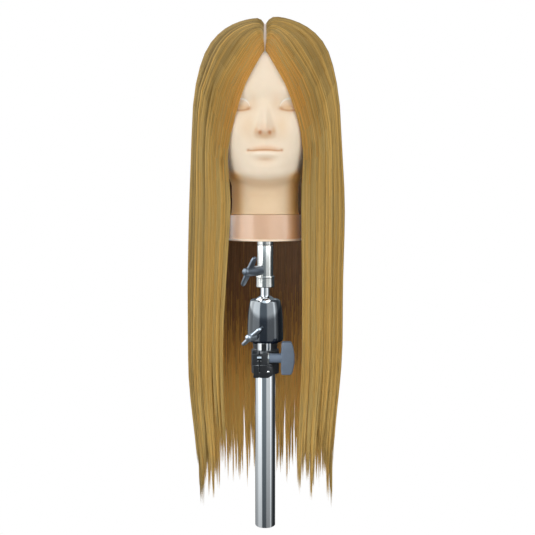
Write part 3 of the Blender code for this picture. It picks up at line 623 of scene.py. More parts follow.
def make_socket(metals):
    bore, seat = STEM_R + GAP, SOCKET_R + GAP
    floor = COLLAR_BOTTOM + 5 * MM
    profile = [(bore, COLLAR_BOTTOM), (COLLAR_R - 0.5 * MM, COLLAR_BOTTOM),
               (COLLAR_R, COLLAR_BOTTOM + 1 * MM), (COLLAR_R - 0.3 * MM, COLLAR_TOP - 2.2 * MM),
               (COLLAR_R + 0.4 * MM, COLLAR_TOP - 1.8 * MM),
               (COLLAR_R + 0.4 * MM, COLLAR_TOP), (seat, COLLAR_TOP), (seat, floor), (bore, floor)]
    settle(as_object("socket_collar_fine", turned(rounded(profile, 0.5 * MM), ring=True)), "socket_collar",
           "nickel", metals["nickel"])
    groove = SOCKET_R - 0.5 * MM
    outer = [(SOCKET_BORE_R, floor + 0.3 * MM), (SOCKET_R, floor + 0.3 * MM)]
    outer += [(SOCKET_R, GROOVE_Z - 0.9 * MM), (groove, GROOVE_Z - 0.5 * MM), (groove, GROOVE_Z + 0.5 * MM),
              (SOCKET_R, GROOVE_Z + 0.9 * MM), (SOCKET_R, SOCKET_TOP), (SOCKET_BORE_R, SOCKET_TOP)]
    pipe = as_object("socket_tube_fine", turned(rounded(outer, 0.3 * MM), ring=True))
    hole = rod(STUD_HOLE, 5 * MM, 20 * MM, 32)
    hole.transform(screw_frame(PEG_SCREW))
    cut(pipe, hole)
    settle(pipe, "socket_tube", "nickel", metals["nickel"])


def screw_frame(screw):
    """Z runs out along the screw from the pole's axis, and X is straight up."""
    angle = math.radians(screw["angle"])
    out = Vector((-math.sin(angle), -math.cos(angle), 0))
    up = Vector((0, 0, 1))
    turn = Matrix((up, out.cross(up), out)).transposed().to_4x4()
    return Matrix.Translation((0, 0, screw["z"])) @ turn


def make_wings(name, screw, finish_slot, metal):
    """A cast wing head: a tapered hub with two leaf-shaped blades, bored for its stud."""
    start, wings, end, hub = screw["wall"] + 1 * MM, screw["wings"], screw["end"], screw["hub"]
    profile = [(0, start), (hub, start), (hub, wings - 4 * MM), (hub * 0.8, end - 7 * MM),
               (hub * 0.78, end - 3.4 * MM), (hub * 0.62, end - 1.4 * MM),
               (hub * 0.35, end - 0.3 * MM), (0, end)]
    piece = as_object(name + "_fine", turned(rounded(profile, 1.1 * MM), 64))
    reach = screw["reach"]
    outline = [(1 * MM, wings - 6.6 * MM), (8 * MM, wings - 6.2 * MM), (15 * MM, wings - 5.2 * MM),
               (reach - 2.5 * MM, wings - 4.6 * MM), (reach, wings - 0.8 * MM),
               (reach - 2.5 * MM, wings + 3.4 * MM), (14 * MM, wings + 4.2 * MM),
               (8 * MM, wings + 4.6 * MM), (1 * MM, wings + 5.6 * MM)]
    for turn in (screw["turn"], screw["turn"] + 180):
        blade = prism(rounded(outline, 3 * MM), WING_THICK, 1.5 * MM)
        blade.transform(Matrix.Rotation(math.radians(turn), 4, "Z"))
        combine(piece, blade, "UNION")
    cut(piece, rod(STUD_HOLE, 0, wings + GAP, 32))
    piece.data.transform(screw_frame(screw))
    settle(piece, name, finish_slot, metal)


def paint_points(mesh, colours):
    """Stores a linear colour at each point of a mesh, for its material to read as "tint"."""
    layer = mesh.color_attributes.new("tint", "FLOAT_COLOR", "POINT")
    values = np.ones((len(colours), 4))
    values[:, :3] = colours
    layer.data.foreach_set("color", values.reshape(-1))


def make_neck_ring():
    """The moulded ring under the neck, with its paler foot and painted warm light from the hair on its sides.
    """
    lip = RING_R + 1.1 * MM
    profile = [(44.6 * MM, RING_BOTTOM), (lip - 0.5 * MM, RING_BOTTOM), (lip, RING_BOTTOM + 0.8 * MM),
               (lip, RING_BOTTOM + 2.4 * MM), (RING_R, RING_BOTTOM + 3.1 * MM), (RING_R - 0.9 * MM, RING_TOP),
               (43 * MM, RING_TOP), (43 * MM, RING_TOP - 2.5 * MM), (46.4 * MM, RING_TOP - 4 * MM),
               (47.2 * MM, RING_BOTTOM + 5 * MM), (44.6 * MM, RING_BOTTOM + 3.5 * MM)]
    ring = as_object("neck_ring_fine", turned(rounded(profile, 0.7 * MM), 160, ring=True))
    places = np.array([v.co for v in ring.data.vertices])
    # Painted warm light: the ring turns orange towards its sides, as if lit by the hair beside it
    side = smooth_step((np.abs(places[:, 0]) - 24 * MM) / (22 * MM))[:, None]
    tints = linear(RING_PEACH) * (1 - side) + linear(RING_SIDE_HAIR_GLOW) * side
    tints[places[:, 2] < RING_BOTTOM + 2.7 * MM] = linear(RING_FOOT)
    paint_points(ring.data, tints)
    settle(ring, "neck_ring", "peach_plastic",
           painted("ring_peach", 0.35, Coat_Weight=0.35, Coat_Roughness=0.2, Coat_IOR=1.6))


def metal_finishes():
    """Every hardware finish, by the name of its slot in the record."""
    upright = (8, 8, 0.6)
    return {
        "chrome": finish("chrome_tube", (0.80, 0.81, 0.83), 0.09, grain=900, relief=0.02, spread=0.03,
                         stretch=upright, Metallic=1.0),
        "nickel": finish("nickel_socket", (0.74, 0.73, 0.70), 0.17, grain=900, relief=0.05, spread=0.05,
                         stretch=upright, Metallic=1.0),
        "steel": finish("zinc_steel", (0.62, 0.61, 0.58), 0.3, grain=900, relief=0.15, spread=0.1,
                        Metallic=1.0),
        "black_plastic": finish("clamp_black", (0.012, 0.013, 0.015), 0.42, grain=2200, relief=0.35,
                                spread=0.2),
        "gloss_black": finish("housing_gloss", (0.006, 0.008, 0.016), 0.12, grain=500, relief=0.03,
                              spread=0.15, Specular_IOR_Level=0.5, Specular_Tint=(0.75, 0.88, 1, 1),
                              Coat_Weight=1.0, Coat_Roughness=0.06, Coat_IOR=1.7),
        "nylon": finish("white_nylon", (0.72, 0.71, 0.66), 0.4, grain=1200, relief=0.2, spread=0.06),
        "brass": finish("turned_brass", (0.66, 0.48, 0.20), 0.25, grain=900, relief=0.1, spread=0.1,
                        Metallic=1.0),
        "silver_cast": finish("silver_cast", (0.36, 0.40, 0.45), 0.34, grain=1500, relief=0.4, spread=0.25,
                              Metallic=0.75),
        "dark_cast": finish("dark_cast", (0.14, 0.165, 0.20), 0.36, grain=1500, relief=0.4, spread=0.3,
                            Metallic=0.6),
        "grey_plastic": finish("knob_grey", (0.135, 0.175, 0.235), 0.45, grain=2000, relief=0.3, spread=0.1),
        "base_plastic": finish("plug_plastic", (0.62, 0.45, 0.36), 0.4, grain=1200, relief=0.2, spread=0.06),
        "foam": finish("core_foam", (0.85, 0.80, 0.68), 0.9, grain=2500, relief=0.8, spread=0.15),
    }


CARRIED = {
    "pole_end_bung": "black_plastic", "pole_top_bush": "nylon", "clamp_washer": "steel",
    "clamp_bolt": "chrome", "mast_foot_cap": "black_plastic", "mast_foot_bush": "nylon",
    "bush_retaining_clip": "steel", "housing_base_ring": "steel", "ball_seat": "nylon",
    "stem_nut": "steel", "peg_pad": "brass", "peg_stud": "steel", "ball_lock_pad": "brass",
    "ball_lock_stud": "steel", "neck_pipe": "nickel", "neck_base_plug": "base_plastic",
}


def finish_carried(metals):
    """The CAD nodes that stay as they are, mostly hidden ones, get their procedural finishes."""
    for node, finish_slot in CARRIED.items():
        piece = frame["nodes"][node]
        piece.data.materials.clear()
        piece.data.materials.append(metals[finish_slot])


def make_hardware():
    metals = metal_finishes()
    make_pole(metals)
    make_clamp(metals)
    make_knob(metals)
    make_ball_joint(metals)
    make_socket(metals)
    make_wings("peg_wings", PEG_SCREW, "dark_cast", metals["dark_cast"])
    make_wings("ball_lock_wings", LOCK_SCREW, "silver_cast", metals["silver_cast"])
    make_neck_ring()
    finish_carried(metals)
    return metals


# ---- head -----------------------------------------------------------------------------------


def spot(x, z, at_x, at_z, wide, tall):
    """A soft round patch of the face, 1 at its middle; the place and sizes are in millimetres."""
    return np.exp(-((x - at_x) / wide) ** 2 - ((z - at_z) / tall) ** 2)


def line_along(x, z, level, half_length, thin):
    """A thin level crease that fades at both ends."""
    ends = 1 - smooth_step((np.abs(x) - half_length + 3) / 3)
    return np.exp(-((z - level) / thin) ** 2) * ends


def nose_height(x, z):
    along = smooth_step((584 - z) / 38) ** 1.2 * smooth_step((z - 531.5) / 9)
    wide = 5.2 + 3.0 * smooth_step((570 - z) / 24)
    ridge = 14.5 * along * np.exp(-np.abs(x / wide) ** 2.2)
    tip = 4.0 * spot(x, z, 0, 545, 7.0, 6.0)
    wings = 5.5 * (spot(x, z, 9.3, 541.5, 3.4, 4.2) + spot(x, z, -9.3, 541.5, 3.4, 4.2))
    return ridge + tip + wings


def lid_arc(x, z, thin):
    """The crease over each closed eye: the upper half of an oval from corner to corner."""
    across = (np.abs(x) - 31.5) / 13.0
    level = 570.5 + 12.5 * np.sqrt(np.clip(1 - across ** 2, 0, 1))
    return np.exp(-((z - level) / thin) ** 2) * (np.abs(across) < 1)


def lash_line(x, z, thin):
    across = (np.abs(x) - 30.5) / 12.5
    level = 570.2 - 2.2 * np.clip(1 - across ** 2, 0, 1)
    return np.exp(-((z - level) / thin) ** 2) * (1 - smooth_step((np.abs(across) - 0.75) / 0.25))


def mouth_level(x):
    return 518.2 - 0.0022 * x ** 2 + 0.9 * smooth_step((np.abs(x) - 15) / 8)


def face_relief(x, z):
    """How far the face's features stand out, in millimetres, at x and z in millimetres."""
    pair = np.abs(x)
    rise = nose_height(x, z)
    rise += 1.5 * spot(pair, z, 27, 594, 16, 7)
    rise -= 5.0 * spot(pair, z, 29, 575, 13, 9)
    rise -= 2.0 * spot(x, z, 0, 583, 9, 8)
    rise += 3.9 * spot(pair, z, 30.5, 572.5, 11.5, 6.5)
    rise -= 0.8 * lid_arc(x, z, 1.0)
    rise -= 1.0 * lash_line(x, z, 1.0)
    rise -= 2.4 * spot(pair, z, 5.6, 537.8, 2.6, 1.9)
    rise += 2.2 * spot(pair, z, 36, 545, 16, 16)
    rise -= 0.7 * spot(x, z, 0, 526.5, 2.4, 3.5)
    level = mouth_level(x)
    rise += 2.3 * np.exp(-((z - level - 3.4) / 2.9) ** 2) * np.exp(-np.abs(x / 17) ** 3)
    rise += 3.0 * np.exp(-((z - level + 4.6) / 3.6) ** 2) * np.exp(-np.abs(x / 15) ** 3)
    rise -= 1.5 * line_along(x, z, level, 21, 0.9)
    rise -= 1.2 * spot(pair, z, 21.5, 518.0, 2.4, 2.2)
    rise -= 2.0 * spot(x, z, 0, 506.0, 12, 3.6)
    rise += 2.5 * spot(x, z, 0, 494, 15, 7)
    return rise


def face_tints(x, z, ahead, level_before_jaw):
    """Linear colours over the skin, with painted warm shade in its creases, beside the nose and under the
    jaw, painted highlights on the lid creases, lower lip and parting, and painted warm light from the hair on
    the sides of the face and neck.
    """
    pair = np.abs(x)
    colours = np.tile(linear(SKIN_CREAM), (len(x), 1))
    turned_away = (1 - ahead)[:, None]
    # Painted warm light: skin turned away from the front is coloured orange, as if lit by the hair around it
    colours = colours * (1 - 0.8 * turned_away) + linear((236, 192, 138)) * 0.8 * turned_away
    # Painted shade: the scalp high on the head is brown like the shadow at the hair's roots, where it shows
    # between strands
    scalp_shade = turned_away * smooth_step((z - 640) / 15)[:, None]
    colours = colours * (1 - scalp_shade) + linear((140, 104, 58)) * scalp_shade

    def lay(colour, strength):
        nonlocal colours
        strength = np.clip(strength * ahead, 0, 1)[:, None]
        colours = colours * (1 - strength) + linear(colour) * strength

    # Painted shade on the cheeks beside the nose
    lay((232, 200, 160), 0.45 * spot(pair, z, 22, 548, 9, 16))
    lay((214, 172, 124), 0.8 * spot(pair, z, 31, 571.5, 11.5, 6))
    # Painted shade along the closed eye's lash line
    lay((190, 134, 84), 0.7 * lash_line(x, z, 1.3))
    # Painted highlight along the lid crease
    lay((255, 250, 240), 0.95 * lid_arc(x, z, 1.0))
    # Painted shade at the inner corners of the eyes
    lay((190, 134, 86), 0.7 * spot(pair, z, 20, 570.5, 3.4, 2.6))
    # Painted shade on both sides of the nose bridge
    lay((226, 196, 162), 0.5 * spot(pair, z, 14, 578, 6, 10))
    # Painted shade round the nose tip
    lay((232, 186, 146), 0.4 * spot(x, z, 0, 544, 9, 7))
    # Painted shadow under the nose
    lay((220, 174, 124), 0.6 * spot(x, z, 0, 535.5, 11, 3.5))
    # Painted shade in the nostrils
    lay((196, 116, 54), 0.9 * spot(pair, z, 5.9, 539.2, 2.6, 2.4))
    # Painted shade at the edges of the nose wings
    lay((222, 172, 122), 0.65 * spot(pair, z, 10.8, 541.5, 2.6, 4.5))
    level = mouth_level(x)
    lay((230, 184, 146), 0.65 * np.exp(-((z - level - 2.4) / 3.0) ** 2) * np.exp(-np.abs(x / 17) ** 4))
    # Painted highlight on the lower lip
    lay((252, 238, 220), 0.6 * np.exp(-((z - level + 4) / 2.2) ** 2) * np.exp(-np.abs(x / 14) ** 4))
    # Painted shade in the crease between the lips
    lay((196, 128, 70), 0.8 * line_along(x, z, level, 21, 0.95))
    # Painted shade in the mouth's corners
    lay((190, 116, 58), 0.75 * spot(pair, z, 21, 518.3, 1.8, 1.6))
    # Painted shadow under the lower lip
    lay((214, 178, 142), 0.6 * spot(x, z, 0, 507, 10, 2.8))
    # Painted light: the scalp along the parting is pale pink-white, lighter than the skin, as if lit inside
    # its groove
    lay((255, 238, 228), spot(x, z, 0, 690, 5, 45))
    ahead = np.ones_like(x)
    neck = smooth_step((487 - level_before_jaw) / 9)
    # Painted shade: the neck under the jaw is a darker tan
    lay((236, 206, 168), 0.85 * neck)
    # Painted warm light: the neck's sides orange, as if lit by the hair beside them
    lay((255, 188, 92), 0.9 * neck * smooth_step((pair - 24) / 20))
    return colours


def painted(name, roughness, **inputs):
    """Moulded vinyl whose colour, painted shade and light included, comes from its mesh's own tint, with a
    faint mottle and grain.
    """
    made = principled(name, linear(SKIN_CREAM), roughness, Subsurface_Weight=0.12,
                      Subsurface_Radius=(0.006, 0.003, 0.002), Subsurface_Scale=1.0, **inputs)
    tree = made.node_tree
    shader = tree.nodes["Principled BSDF"]
    tint = new_node(tree, "Attribute")
    tint.attribute_name = "tint"
    mottle = new_node(tree, "Mix")
    mottle.data_type = "RGBA"
    mottle.blend_type = "MULTIPLY"
    mottle.inputs["Factor"].default_value = 1.0
    ramp = new_node(tree, "ValToRGB")
    fill_ramp(ramp, [(0.3, (0.96, 0.94, 0.92)), (0.7, (1, 1, 1))])
    tree.links.new(noise(tree, 45, 4), ramp.inputs[0])
    tree.links.new(tint.outputs["Color"], mottle.inputs["A"])
    tree.links.new(ramp.outputs["Color"], mottle.inputs["B"])
    tree.links.new(mottle.outputs["Result"], shader.inputs["Base Color"])
    add_bump(tree, 0.15, 0.05 * MM, noise(tree, 1400, 2))
    return made


def head_surface(heights, columns, inset=0.0):
    """Level sections of the head as a grid of points, with the jaw's edge rising towards the ears.

    Also gives how far each point faces ahead, and its height before the jaw was raised, in millimetres.
    """
    share = np.linspace(-1, 1, columns, endpoint=False)
    turn = math.pi * (0.5 * share + 0.5 * share ** 3)
    half, ahead, behind = (size[:, None] - inset for size in head_size(heights))
    across, forward = np.sin(turn)[None, :], np.cos(turn)[None, :]
    power = 2 / HEAD_POWER
    x = np.sign(across) * np.abs(across) ** power * half
    y = -np.sign(forward) * np.abs(forward) ** power * np.where(forward > 0, ahead, behind)
    before = np.repeat(heights[:, None], columns, axis=1)
    low_face = smooth_step((before - 0.462) / 0.012) * (1 - smooth_step((before - 0.490) / 0.06))
    lift = low_face * smooth_step((0.02 - y) / 0.06) * np.minimum(x ** 2 / (2 * 78 * MM), 16 * MM)
    facing = smooth_step((forward - 0.15) / 0.35) * np.ones_like(x)
    return np.stack([x, y, before + lift], axis=-1), facing, before / MM


def grid_quads(rows, columns):
    """Faces between the rows of a grid that closes round on itself."""
    grid = np.arange(rows * columns).reshape(rows, columns)
    beside = np.roll(grid, -1, axis=1)
    return np.stack([grid[:-1], beside[:-1], beside[1:], grid[1:]], axis=-1).reshape(-1, 4).tolist()


def head_piece(name, node, points, faces, finish_slot, made):
    mesh = bpy.data.meshes.new(name)
    mesh.from_pydata(points.tolist(), [], faces)
    shape = bmesh.new()
    shape.from_mesh(mesh)
    bmesh.ops.recalc_face_normals(shape, faces=shape.faces)
    shape.to_mesh(mesh)
    shape.free()
    return settle(add_object(name, mesh), node, finish_slot, made, sharp=180)


def make_head(foam):
    """The vinyl head with its features, closed inside the neck by a short wall, and the foam within."""
    columns = 280
    heights = np.concatenate([
        np.linspace(437.8, 478, 24, endpoint=False), np.linspace(478, 600, 118, endpoint=False),
        np.linspace(600, 680, 44, endpoint=False), 680 + 10.9 * np.sin(np.linspace(0, math.pi / 2, 14)),
    ]) * MM
    grid, facing, before = head_surface(heights, columns)
    grid[..., 1] -= facing * face_relief(grid[..., 0] / MM, grid[..., 2] / MM) * MM
    points = grid.reshape(-1, 3)
    tints = face_tints(points[:, 0] / MM, points[:, 2] / MM, facing.reshape(-1), before.reshape(-1))
    faces = grid_quads(len(heights), columns)
    inner = points[:columns] * np.array([0.93, 0.93, 1.0])
    lid = inner + np.array([0, 0, 0.02])
    first = len(points)
    points = np.vstack([points, inner, lid])
    for k in range(columns):
        n = (k + 1) % columns
        faces.append([k, first + k, first + n, n])
        faces.append([first + k, first + columns + k, first + columns + n, first + n])
    faces.append(list(range(first + columns, first + 2 * columns)))
    faces.append(list(range(first - columns, first)))
    head = head_piece("head_skin_face", "head_skin", points, faces, "vinyl_skin",
                      painted("vinyl_skin", 0.5, Specular_IOR_Level=0.25))
    plain = np.tile(linear(SKIN_CREAM), (len(points) - len(tints), 1))
    paint_points(head.data, np.vstack([tints, plain]))

    columns = 96
    heights = np.linspace(486, 686, 60) * MM
    core, _, _ = head_surface(heights, columns, 6 * MM)
    faces = grid_quads(len(heights), columns)
    faces.append(list(range(columns)))
    faces.append(list(range(core.shape[0] * columns - columns, core.shape[0] * columns)))
    head_piece("foam_core_fine", "foam_core", core.reshape(-1, 3), faces, "foam", foam)


# ---- hair -----------------------------------------------------------------------------------


def parting_point(share):
    """Where hair at this share (0 face edge, 1 centre back) leaves the parting: y and height."""
    y = (-82 + 97 * share ** 0.8 + 40 * share ** 2) * MM
    return y, 600 * MM + 91 * MM * np.sqrt(np.maximum(0.0, 1 - ((y + 2 * MM) / (90 * MM)) ** 2))


def hanging_point(share, half, opening):
    """The level outline that the hair hangs on, from the face opening round to the centre back."""
    front = share < 0.35
    turn = np.where(front, share / 0.35, (share - 0.35) / 0.65) * math.pi / 2
    turn = np.clip(turn, 0, math.pi / 2)
    x = np.where(front, opening + (half - opening) * np.sin(turn), half * np.abs(np.cos(turn)) ** 0.87)
    y = np.where(front, -HAIR_FRONT * np.cos(turn), HAIR_BACK * np.abs(np.sin(turn)) ** 0.87)
    return np.maximum(x, PARTING), y


def strand_numbers(side, rng):
    """Everything that is drawn once per strand, as arrays."""
    count = STRANDS_PER_SIDE
    depth = (np.arange(count) * 0.618034 % 1) ** 1.15
    edges = np.linspace(0, 1, LOCKS + 1)
    edges[1:-1] += rng.uniform(-0.35, 0.35, LOCKS - 1) / LOCKS
    share = (np.arange(count) + rng.uniform(0, 1, count)) / count
    lock = np.clip(np.searchsorted(edges, share) - 1, 0, LOCKS - 1)
    lock_low = edges[lock]
    lock_wide = edges[lock + 1] - lock_low
    within = (share - lock_low) / lock_wide
    wisp = np.minimum((within * WISPS_PER_LOCK).astype(int), WISPS_PER_LOCK - 1)
    wisp_id = lock * WISPS_PER_LOCK + wisp
    wisp_middle = lock_low + (wisp + 0.5 + rng.uniform(-0.2, 0.2, LOCKS * WISPS_PER_LOCK)[wisp_id]) * (
        lock_wide / WISPS_PER_LOCK)
    off_middle = np.abs(share - wisp_middle) * WISPS_PER_LOCK * 2 / lock_wide
    off_lock = np.abs(within - 0.5) * 2
    lock_end = rng.uniform(48, 92, LOCKS)[lock]
    wisp_end = lock_end + rng.uniform(-16, 34, LOCKS * WISPS_PER_LOCK)[wisp_id]
    end = wisp_end + 32 * off_middle ** 1.2 + 24 * off_lock + np.abs(rng.normal(0, 10, count))
    end = end + 18 * np.exp(-((share - 0.36) / 0.06) ** 2) - 14 * smooth_step((share - 0.5) / 0.2)
    lining = (depth > 0.5) & (share > 0.3)
    lining_end = rng.uniform(20, 66, LOCKS * WISPS_PER_LOCK)[wisp_id]
    end = np.where(lining, lining_end + 48 * off_middle ** 1.1 + np.abs(rng.normal(0, 8, count)), end)
    return {
        "share": share, "side": side, "lock": lock, "wisp": wisp_id,
        "lock_middle": lock_low + lock_wide / 2, "lock_wide": lock_wide,
        "wisp_middle": wisp_middle, "wisp_wide": lock_wide / WISPS_PER_LOCK,
        "depth": depth,
        "end": np.clip(end, 14, 180) * MM,
        "lining": lining,
        "phase": rng.uniform(0, 2 * math.pi, LOCKS)[lock],
        "stray": rng.normal(0, 1, count),
        "loyal": rng.uniform(0.35, 1.0, count),
        "lock_tone": rng.normal(0, 1, LOCKS)[lock],
        "wisp_tone": rng.normal(0, 1, LOCKS * WISPS_PER_LOCK)[wisp_id],
        "tone": rng.normal(0, 1, count),
        "streak": rng.uniform(0, 1, count),
    }


def as_columns(s):
    """The values of each strand as columns, to combine with its points."""
    return {key: value if key == "side" else value[:, None] for key, value in s.items()}


def strand_paths(s):
    """Points down every strand, roots first: (strand, point, xyz)."""
    s = as_columns(s)
    side = s["side"]
    half = HAIR_RIGHT if side > 0 else HAIR_LEFT
    share = s["share"]
    front = smooth_step(share / 0.3)
    power = 1.36 + 1.24 * front
    hem = (508 + 32 * front) * MM
    root_y, root_z = parting_point(share)
    lobe = (LOBE_RISE + (2.2 * MM if side > 0 else 0)) * smooth_step(share / 0.09)
    top = root_z + lobe
    fall = np.linspace(0, 1, FALL_POINTS)[None, :] ** 1.9
    turn = fall * math.pi / 2
    out = np.sin(turn) ** (2 / power)
    down = np.cos(turn) ** (2 / power)
    hang = np.linspace(0, 1, HANG_POINTS + 1)[None, 1:]
    out = np.hstack([out, np.ones((len(share), HANG_POINTS))])
    z = np.hstack([hem + (top - hem) * down, hem + (s["end"] - hem) * hang])

    fallen = np.clip((0.54 - z) / (0.54 - s["end"]), 0, 1)
    loyal = s["loyal"]
    free = np.where(s["lining"], 0.0, 1.0)
    to_wisp = 0.36 * fallen ** 2 * loyal * free + (0.60 + 0.2 * (1 - free)) * fallen ** 9 * np.sqrt(loyal)
    to_lock = (0.15 * fallen ** 2 + 0.34 * fallen ** 6) * loyal * free
    place = share + (s["wisp_middle"] - share) * to_wisp
    place = place + (s["lock_middle"] - place) * to_lock
    sway = 0.004 * np.sin(z / 0.11 + s["phase"]) * smooth_step((0.62 - z) / 0.2)
    place = place + sway * free
    place = place + 0.0022 * s["stray"] * fallen
    place = np.clip(place, 0, 1)

    if side < 0:
        opening = (OPENING + 8 * MM * smooth_step((0.42 - z) / 0.16)
                   - 3.5 * MM * np.exp(-((z - 0.45) / 0.04) ** 2))
        slim = 0.055 * smooth_step((z - 0.40) / 0.19) * (1 - 0.6 * smooth_step((z - 0.62) / 0.06))
    else:
        opening = OPENING + 4 * MM * np.exp(-((z - 0.555) / 0.05) ** 2)
        slim = 0.058 * smooth_step((z - 0.44) / 0.14) * (1 - smooth_step((z - 0.62) / 0.06))
    hang_x, hang_y = hanging_point(place, half, opening)
    draw_in = 1 - (0.115 if side < 0 else 0.10) * smooth_step(((0.235 if side < 0 else 0.265) - z) / 0.17)
    hang_x = hang_x - side * 2 * MM * smooth_step((0.44 - z) / 0.12) * smooth_step(place / 0.3)
    hang_x = hang_x * draw_in
    hang_y = hang_y * draw_in
    closing = smooth_step((share - 0.6) / 0.22)
    start_x = PARTING - 2.3 * PARTING * closing - 0.9 * PARTING * (1 - smooth_step(share / 0.06))
    hang_x = hang_x - 5 * MM * smooth_step((share - 0.75) / 0.25)
    x = start_x + (hang_x - start_x) * out
    x = x * (1 - slim * front) - 0.32 * (x - PARTING) * (1 - front) * smooth_step((z - 0.595) / 0.06)
    y = root_y + (hang_y - root_y) * out ** 1.6
    round_off = (3.6 if side > 0 else 2.6) * MM
    z = z - lobe * np.exp(-np.maximum(x - PARTING, 0) / round_off) * (1 - 0.7 * closing)

    off_lock = np.abs(place - s["lock_middle"]) / (s["lock_wide"] / 2)
    off_wisp = np.abs(place - s["wisp_middle"]) / (s["wisp_wide"] / 2)
    low = smooth_step((0.66 - z) / 0.12)
    thick = HAIR_DEPTH * (0.25 + 0.75 * low) * (1 - 0.5 * smooth_step((0.2 - z) / 0.15))
    inset = thick * s["depth"]
    parted = 0.35 + 0.65 * front
    inset = inset + (0.5 + 2.3 * low) * MM * np.clip(off_lock, 0, 1.3) ** 3 * parted * free
    inset = inset + (0.15 + 0.5 * low) * MM * np.clip(off_wisp, 0, 1.3) ** 2 * free
    sideways = x * (0.05 + 0.95 * front)
    above = np.maximum(z - 0.6, 0)
    reach = np.sqrt(sideways ** 2 + y ** 2 + above ** 2)
    x, y, z = x - inset * sideways / reach, y - inset * y / reach, z - inset * above / reach

    size, face, behind = head_size(z)
    clear = (0.8 + 3.2 * (1 - s["depth"])) * MM
    bulge = np.clip(1 - np.abs(x / (size + clear)) ** HEAD_POWER, 0, 1)
    skin_y = -(face + clear) * bulge ** (1 / HEAD_POWER)
    y = np.where(y < -0.01, np.minimum(y, skin_y), y)
    level = np.abs(x / (size + clear)) ** HEAD_POWER
    level = level + np.abs(y / (np.where(y < 0, face, behind) + clear)) ** HEAD_POWER
    push = np.clip(level, 0.5, 1) ** (-1 / HEAD_POWER) - 1
    push = 1 + push * smooth_step((0.684 - z) / 0.02)
    x, y = x * push, y * push
    return np.stack([x * side, y, z], axis=-1)


TINTS = {
    "ash": (188, 160, 98),
    "gold": (197, 160, 88),
    "orange": (208, 158, 80),
    # Painted shade: this umber only colours the shaded strands inside the back hair
    "shade_umber": (130, 88, 54),
}
FAMILIES = list(TINTS)
LEVELS = 7


def hair_palette():
    """Every tint of hair: families from ash to the shade_umber used for painted shade, each from dark to
    light; the levels carry the hair's own tone and painted shade and light.
    """
    made = []
    for family in FAMILIES:
        base = linear(TINTS[family])
        for level in range(LEVELS):
            share = level / (LEVELS - 1)
            warmth = np.array((1.0, 0.93 + 0.07 * share, 0.84 + 0.16 * share))
            colour = np.clip(base * warmth * (0.42 + 0.92 * share), 0, 1)
            made.append(principled(f"hair_{family}_{level}", colour, 0.42 - 0.06 * share,
                                   Specular_IOR_Level=0.3, Specular_Tint=(1, 0.84, 0.56, 1)))
    return made


def strand_tints(s, paths, rng):
    """The palette slot of each strand's segments, painted shade and light among them."""
    s = as_columns(s)
    z = (paths[:, :-1, 2] + paths[:, 1:, 2]) / 2
    x = np.abs(paths[:, :-1, 0] + paths[:, 1:, 0]) / 2
    share = s["share"]
    depth = s["depth"]
    noise = rng.uniform(-0.5, 0.5, z.shape)
    calm = smooth_step((share - 0.04) / 0.12)
    side_is_right = s["side"] > 0
    level = 3.4 + (0.55 * s["lock_tone"] + 0.65 * s["wisp_tone"]) * calm
    # Painted shade: the right side's hair is a little darker
    level = level - (0.5 * calm if side_is_right else 0)
    # The strands' own random tone; painted shade: strands deeper under the surface are darker; strands at the
    # face edge are a little lighter
    level = level + 0.95 * s["tone"] - 2.0 * depth + 0.7 * (1 - calm)
    level = level - 1.6 * np.exp(-x / (7 * MM)) * (z > 0.62)
    level = level - 1.4 * calm * smooth_step((z - 0.545 - 0.07 * s["loyal"]) / 0.06)
    level = level + 0.4 * smooth_step((0.5 - z) / 0.2) + 2.1 * smooth_step((0.22 - z) / 0.12)
    orange = np.clip(1.1 - share / 0.1, 0, 1) * smooth_step((z - 0.47) / 0.12)
    gold = 0.4 + 0.3 * smooth_step((0.5 - z) / 0.25) - 0.4 * smooth_step((0.25 - z) / 0.1)
    gold = np.clip(gold + 0.3 * s["wisp_tone"], 0, 1)
    pick = rng.uniform(0, 1, z.shape)
    family = np.where(pick < gold, 1, 0)
    family = np.where(rng.uniform(0, 1, z.shape) < orange, 2, family)
    # Painted shade and light inside the back hair: its inner strands are dark umber high up and lighter lower
    # down, where more light reaches in
    inner = (depth > 0.45) & (share > 0.42)
    family = np.where(inner, 3, family)
    lit = smooth_step((0.38 - z) / 0.21)
    bright = inner & (s["streak"] + rng.uniform(-0.1, 0.1, z.shape) < 1.2 * lit - 0.1)
    inside = np.where(bright, -0.9 + 5.8 * lit + 2.2 * smooth_step((0.22 - z) / 0.1), 1.3 + 4.5 * lit)
    inside = inside + 0.6 * s["tone"] + 0.4 * s["lock_tone"]
    level = np.where(inner, inside, level)
    # Painted light: the lit inner strands turn orange or gold
    warm = s["streak"] * 2 % 1 < smooth_step((z - 0.1) / 0.2)
    family = np.where(bright, np.where(warm, 2, 1), family)
    level = np.clip(np.round(level + noise), 0, LEVELS - 1).astype(int)
    return family * LEVELS + level


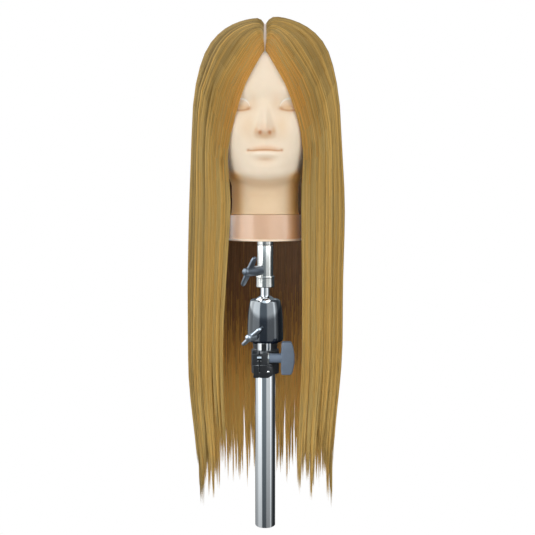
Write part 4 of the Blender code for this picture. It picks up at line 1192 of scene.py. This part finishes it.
def tubes(name, paths, radii, slots, palette):
    """One mesh of thin three-sided closed tubes, one along each path."""
    count, steps, _ = paths.shape
    along = np.gradient(paths, axis=1)
    along /= np.linalg.norm(along, axis=2, keepdims=True) + 1e-12
    outward = paths.copy()
    outward[..., 2] = np.maximum(paths[..., 2] - 0.6, 0)
    across = np.cross(along, outward)
    across /= np.linalg.norm(across, axis=2, keepdims=True) + 1e-12
    lift = np.cross(across, along)
    rings = []
    for k in range(3):
        angle = 2 * math.pi * k / 3
        rings.append(paths + radii[..., None] * (math.cos(angle) * lift + math.sin(angle) * across))
    points = np.stack(rings, axis=2)
    index = np.arange(count * steps * 3).reshape(count, steps, 3)
    near, far = index[:, :-1], index[:, 1:]
    turned_near, turned_far = np.roll(near, -1, axis=2), np.roll(far, -1, axis=2)
    quads = np.stack([near, turned_near, turned_far, far], axis=-1).reshape(-1, 4)
    caps = np.vstack([index[:, 0, ::-1], index[:, -1]])
    used = np.unique(slots)
    renumber = np.zeros(slots.max() + 1, int)
    renumber[used] = np.arange(len(used))
    quad_slots = np.repeat(renumber[slots].reshape(-1), 3)
    cap_slots = np.concatenate([renumber[slots[:, 0]], renumber[slots[:, -1]]])

    mesh = bpy.data.meshes.new(name)
    mesh.vertices.add(points.size // 3)
    mesh.vertices.foreach_set("co", points.reshape(-1).astype(np.float32))
    corners = np.concatenate([quads.reshape(-1), caps.reshape(-1)]).astype(np.int32)
    mesh.loops.add(len(corners))
    starts = np.concatenate([np.arange(len(quads)) * 4, len(quads) * 4 + np.arange(len(caps)) * 3])
    mesh.polygons.add(len(starts))
    mesh.polygons.foreach_set("loop_start", starts.astype(np.int32))
    mesh.polygons.foreach_set("vertices", corners)
    mesh.polygons.foreach_set("use_smooth", np.ones(len(starts), bool))
    for slot_number in used:
        mesh.materials.append(palette[slot_number])
    mesh.polygons.foreach_set("material_index", np.concatenate([quad_slots, cap_slots]).astype(np.int32))
    mesh.update(calc_edges=True)
    return add_object(name, mesh)


def make_hair():
    rng = np.random.default_rng(SEED)
    palette = hair_palette()
    for word, side in (("left", -1), ("right", 1)):
        strands = strand_numbers(side, rng)
        paths = strand_paths(strands)
        slots = strand_tints(strands, paths, rng)
        steps = paths.shape[1]
        taper = np.ones(steps)
        taper[0] = 0.7
        taper[-3:] = (0.95, 0.75, 0.15)
        radii = STRAND_R * taper[None, :] * (1 + 0.15 * strands["stray"][:, None]).clip(0.7, 1.4)
        radii = radii * np.where(strands["lining"], 1.25, 1.0)[:, None]
        names = ("front", "temple", "side", "flank", "rear", "back")
        nodes = ("hair_front_" + word, "hair_crown_" + word, "hair_side_" + word, None, None, "hair_back")
        for name, node, low, high in zip(names, nodes, SPLIT_AT, SPLIT_AT[1:]):
            mine = (strands["share"] >= low) & (strands["share"] < high)
            piece = tubes(f"hair_{name}_{word}_strands", paths[mine], radii[mine], slots[mine], palette)
            if node:
                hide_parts(node)
            piece.visible_glossy = False
            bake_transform(piece)


# ---- the whole scene ------------------------------------------------------------------------


def main():
    make_camera()
    make_stage()
    finishes = make_hardware()
    make_head(finishes["foam"])
    make_hair()


main()
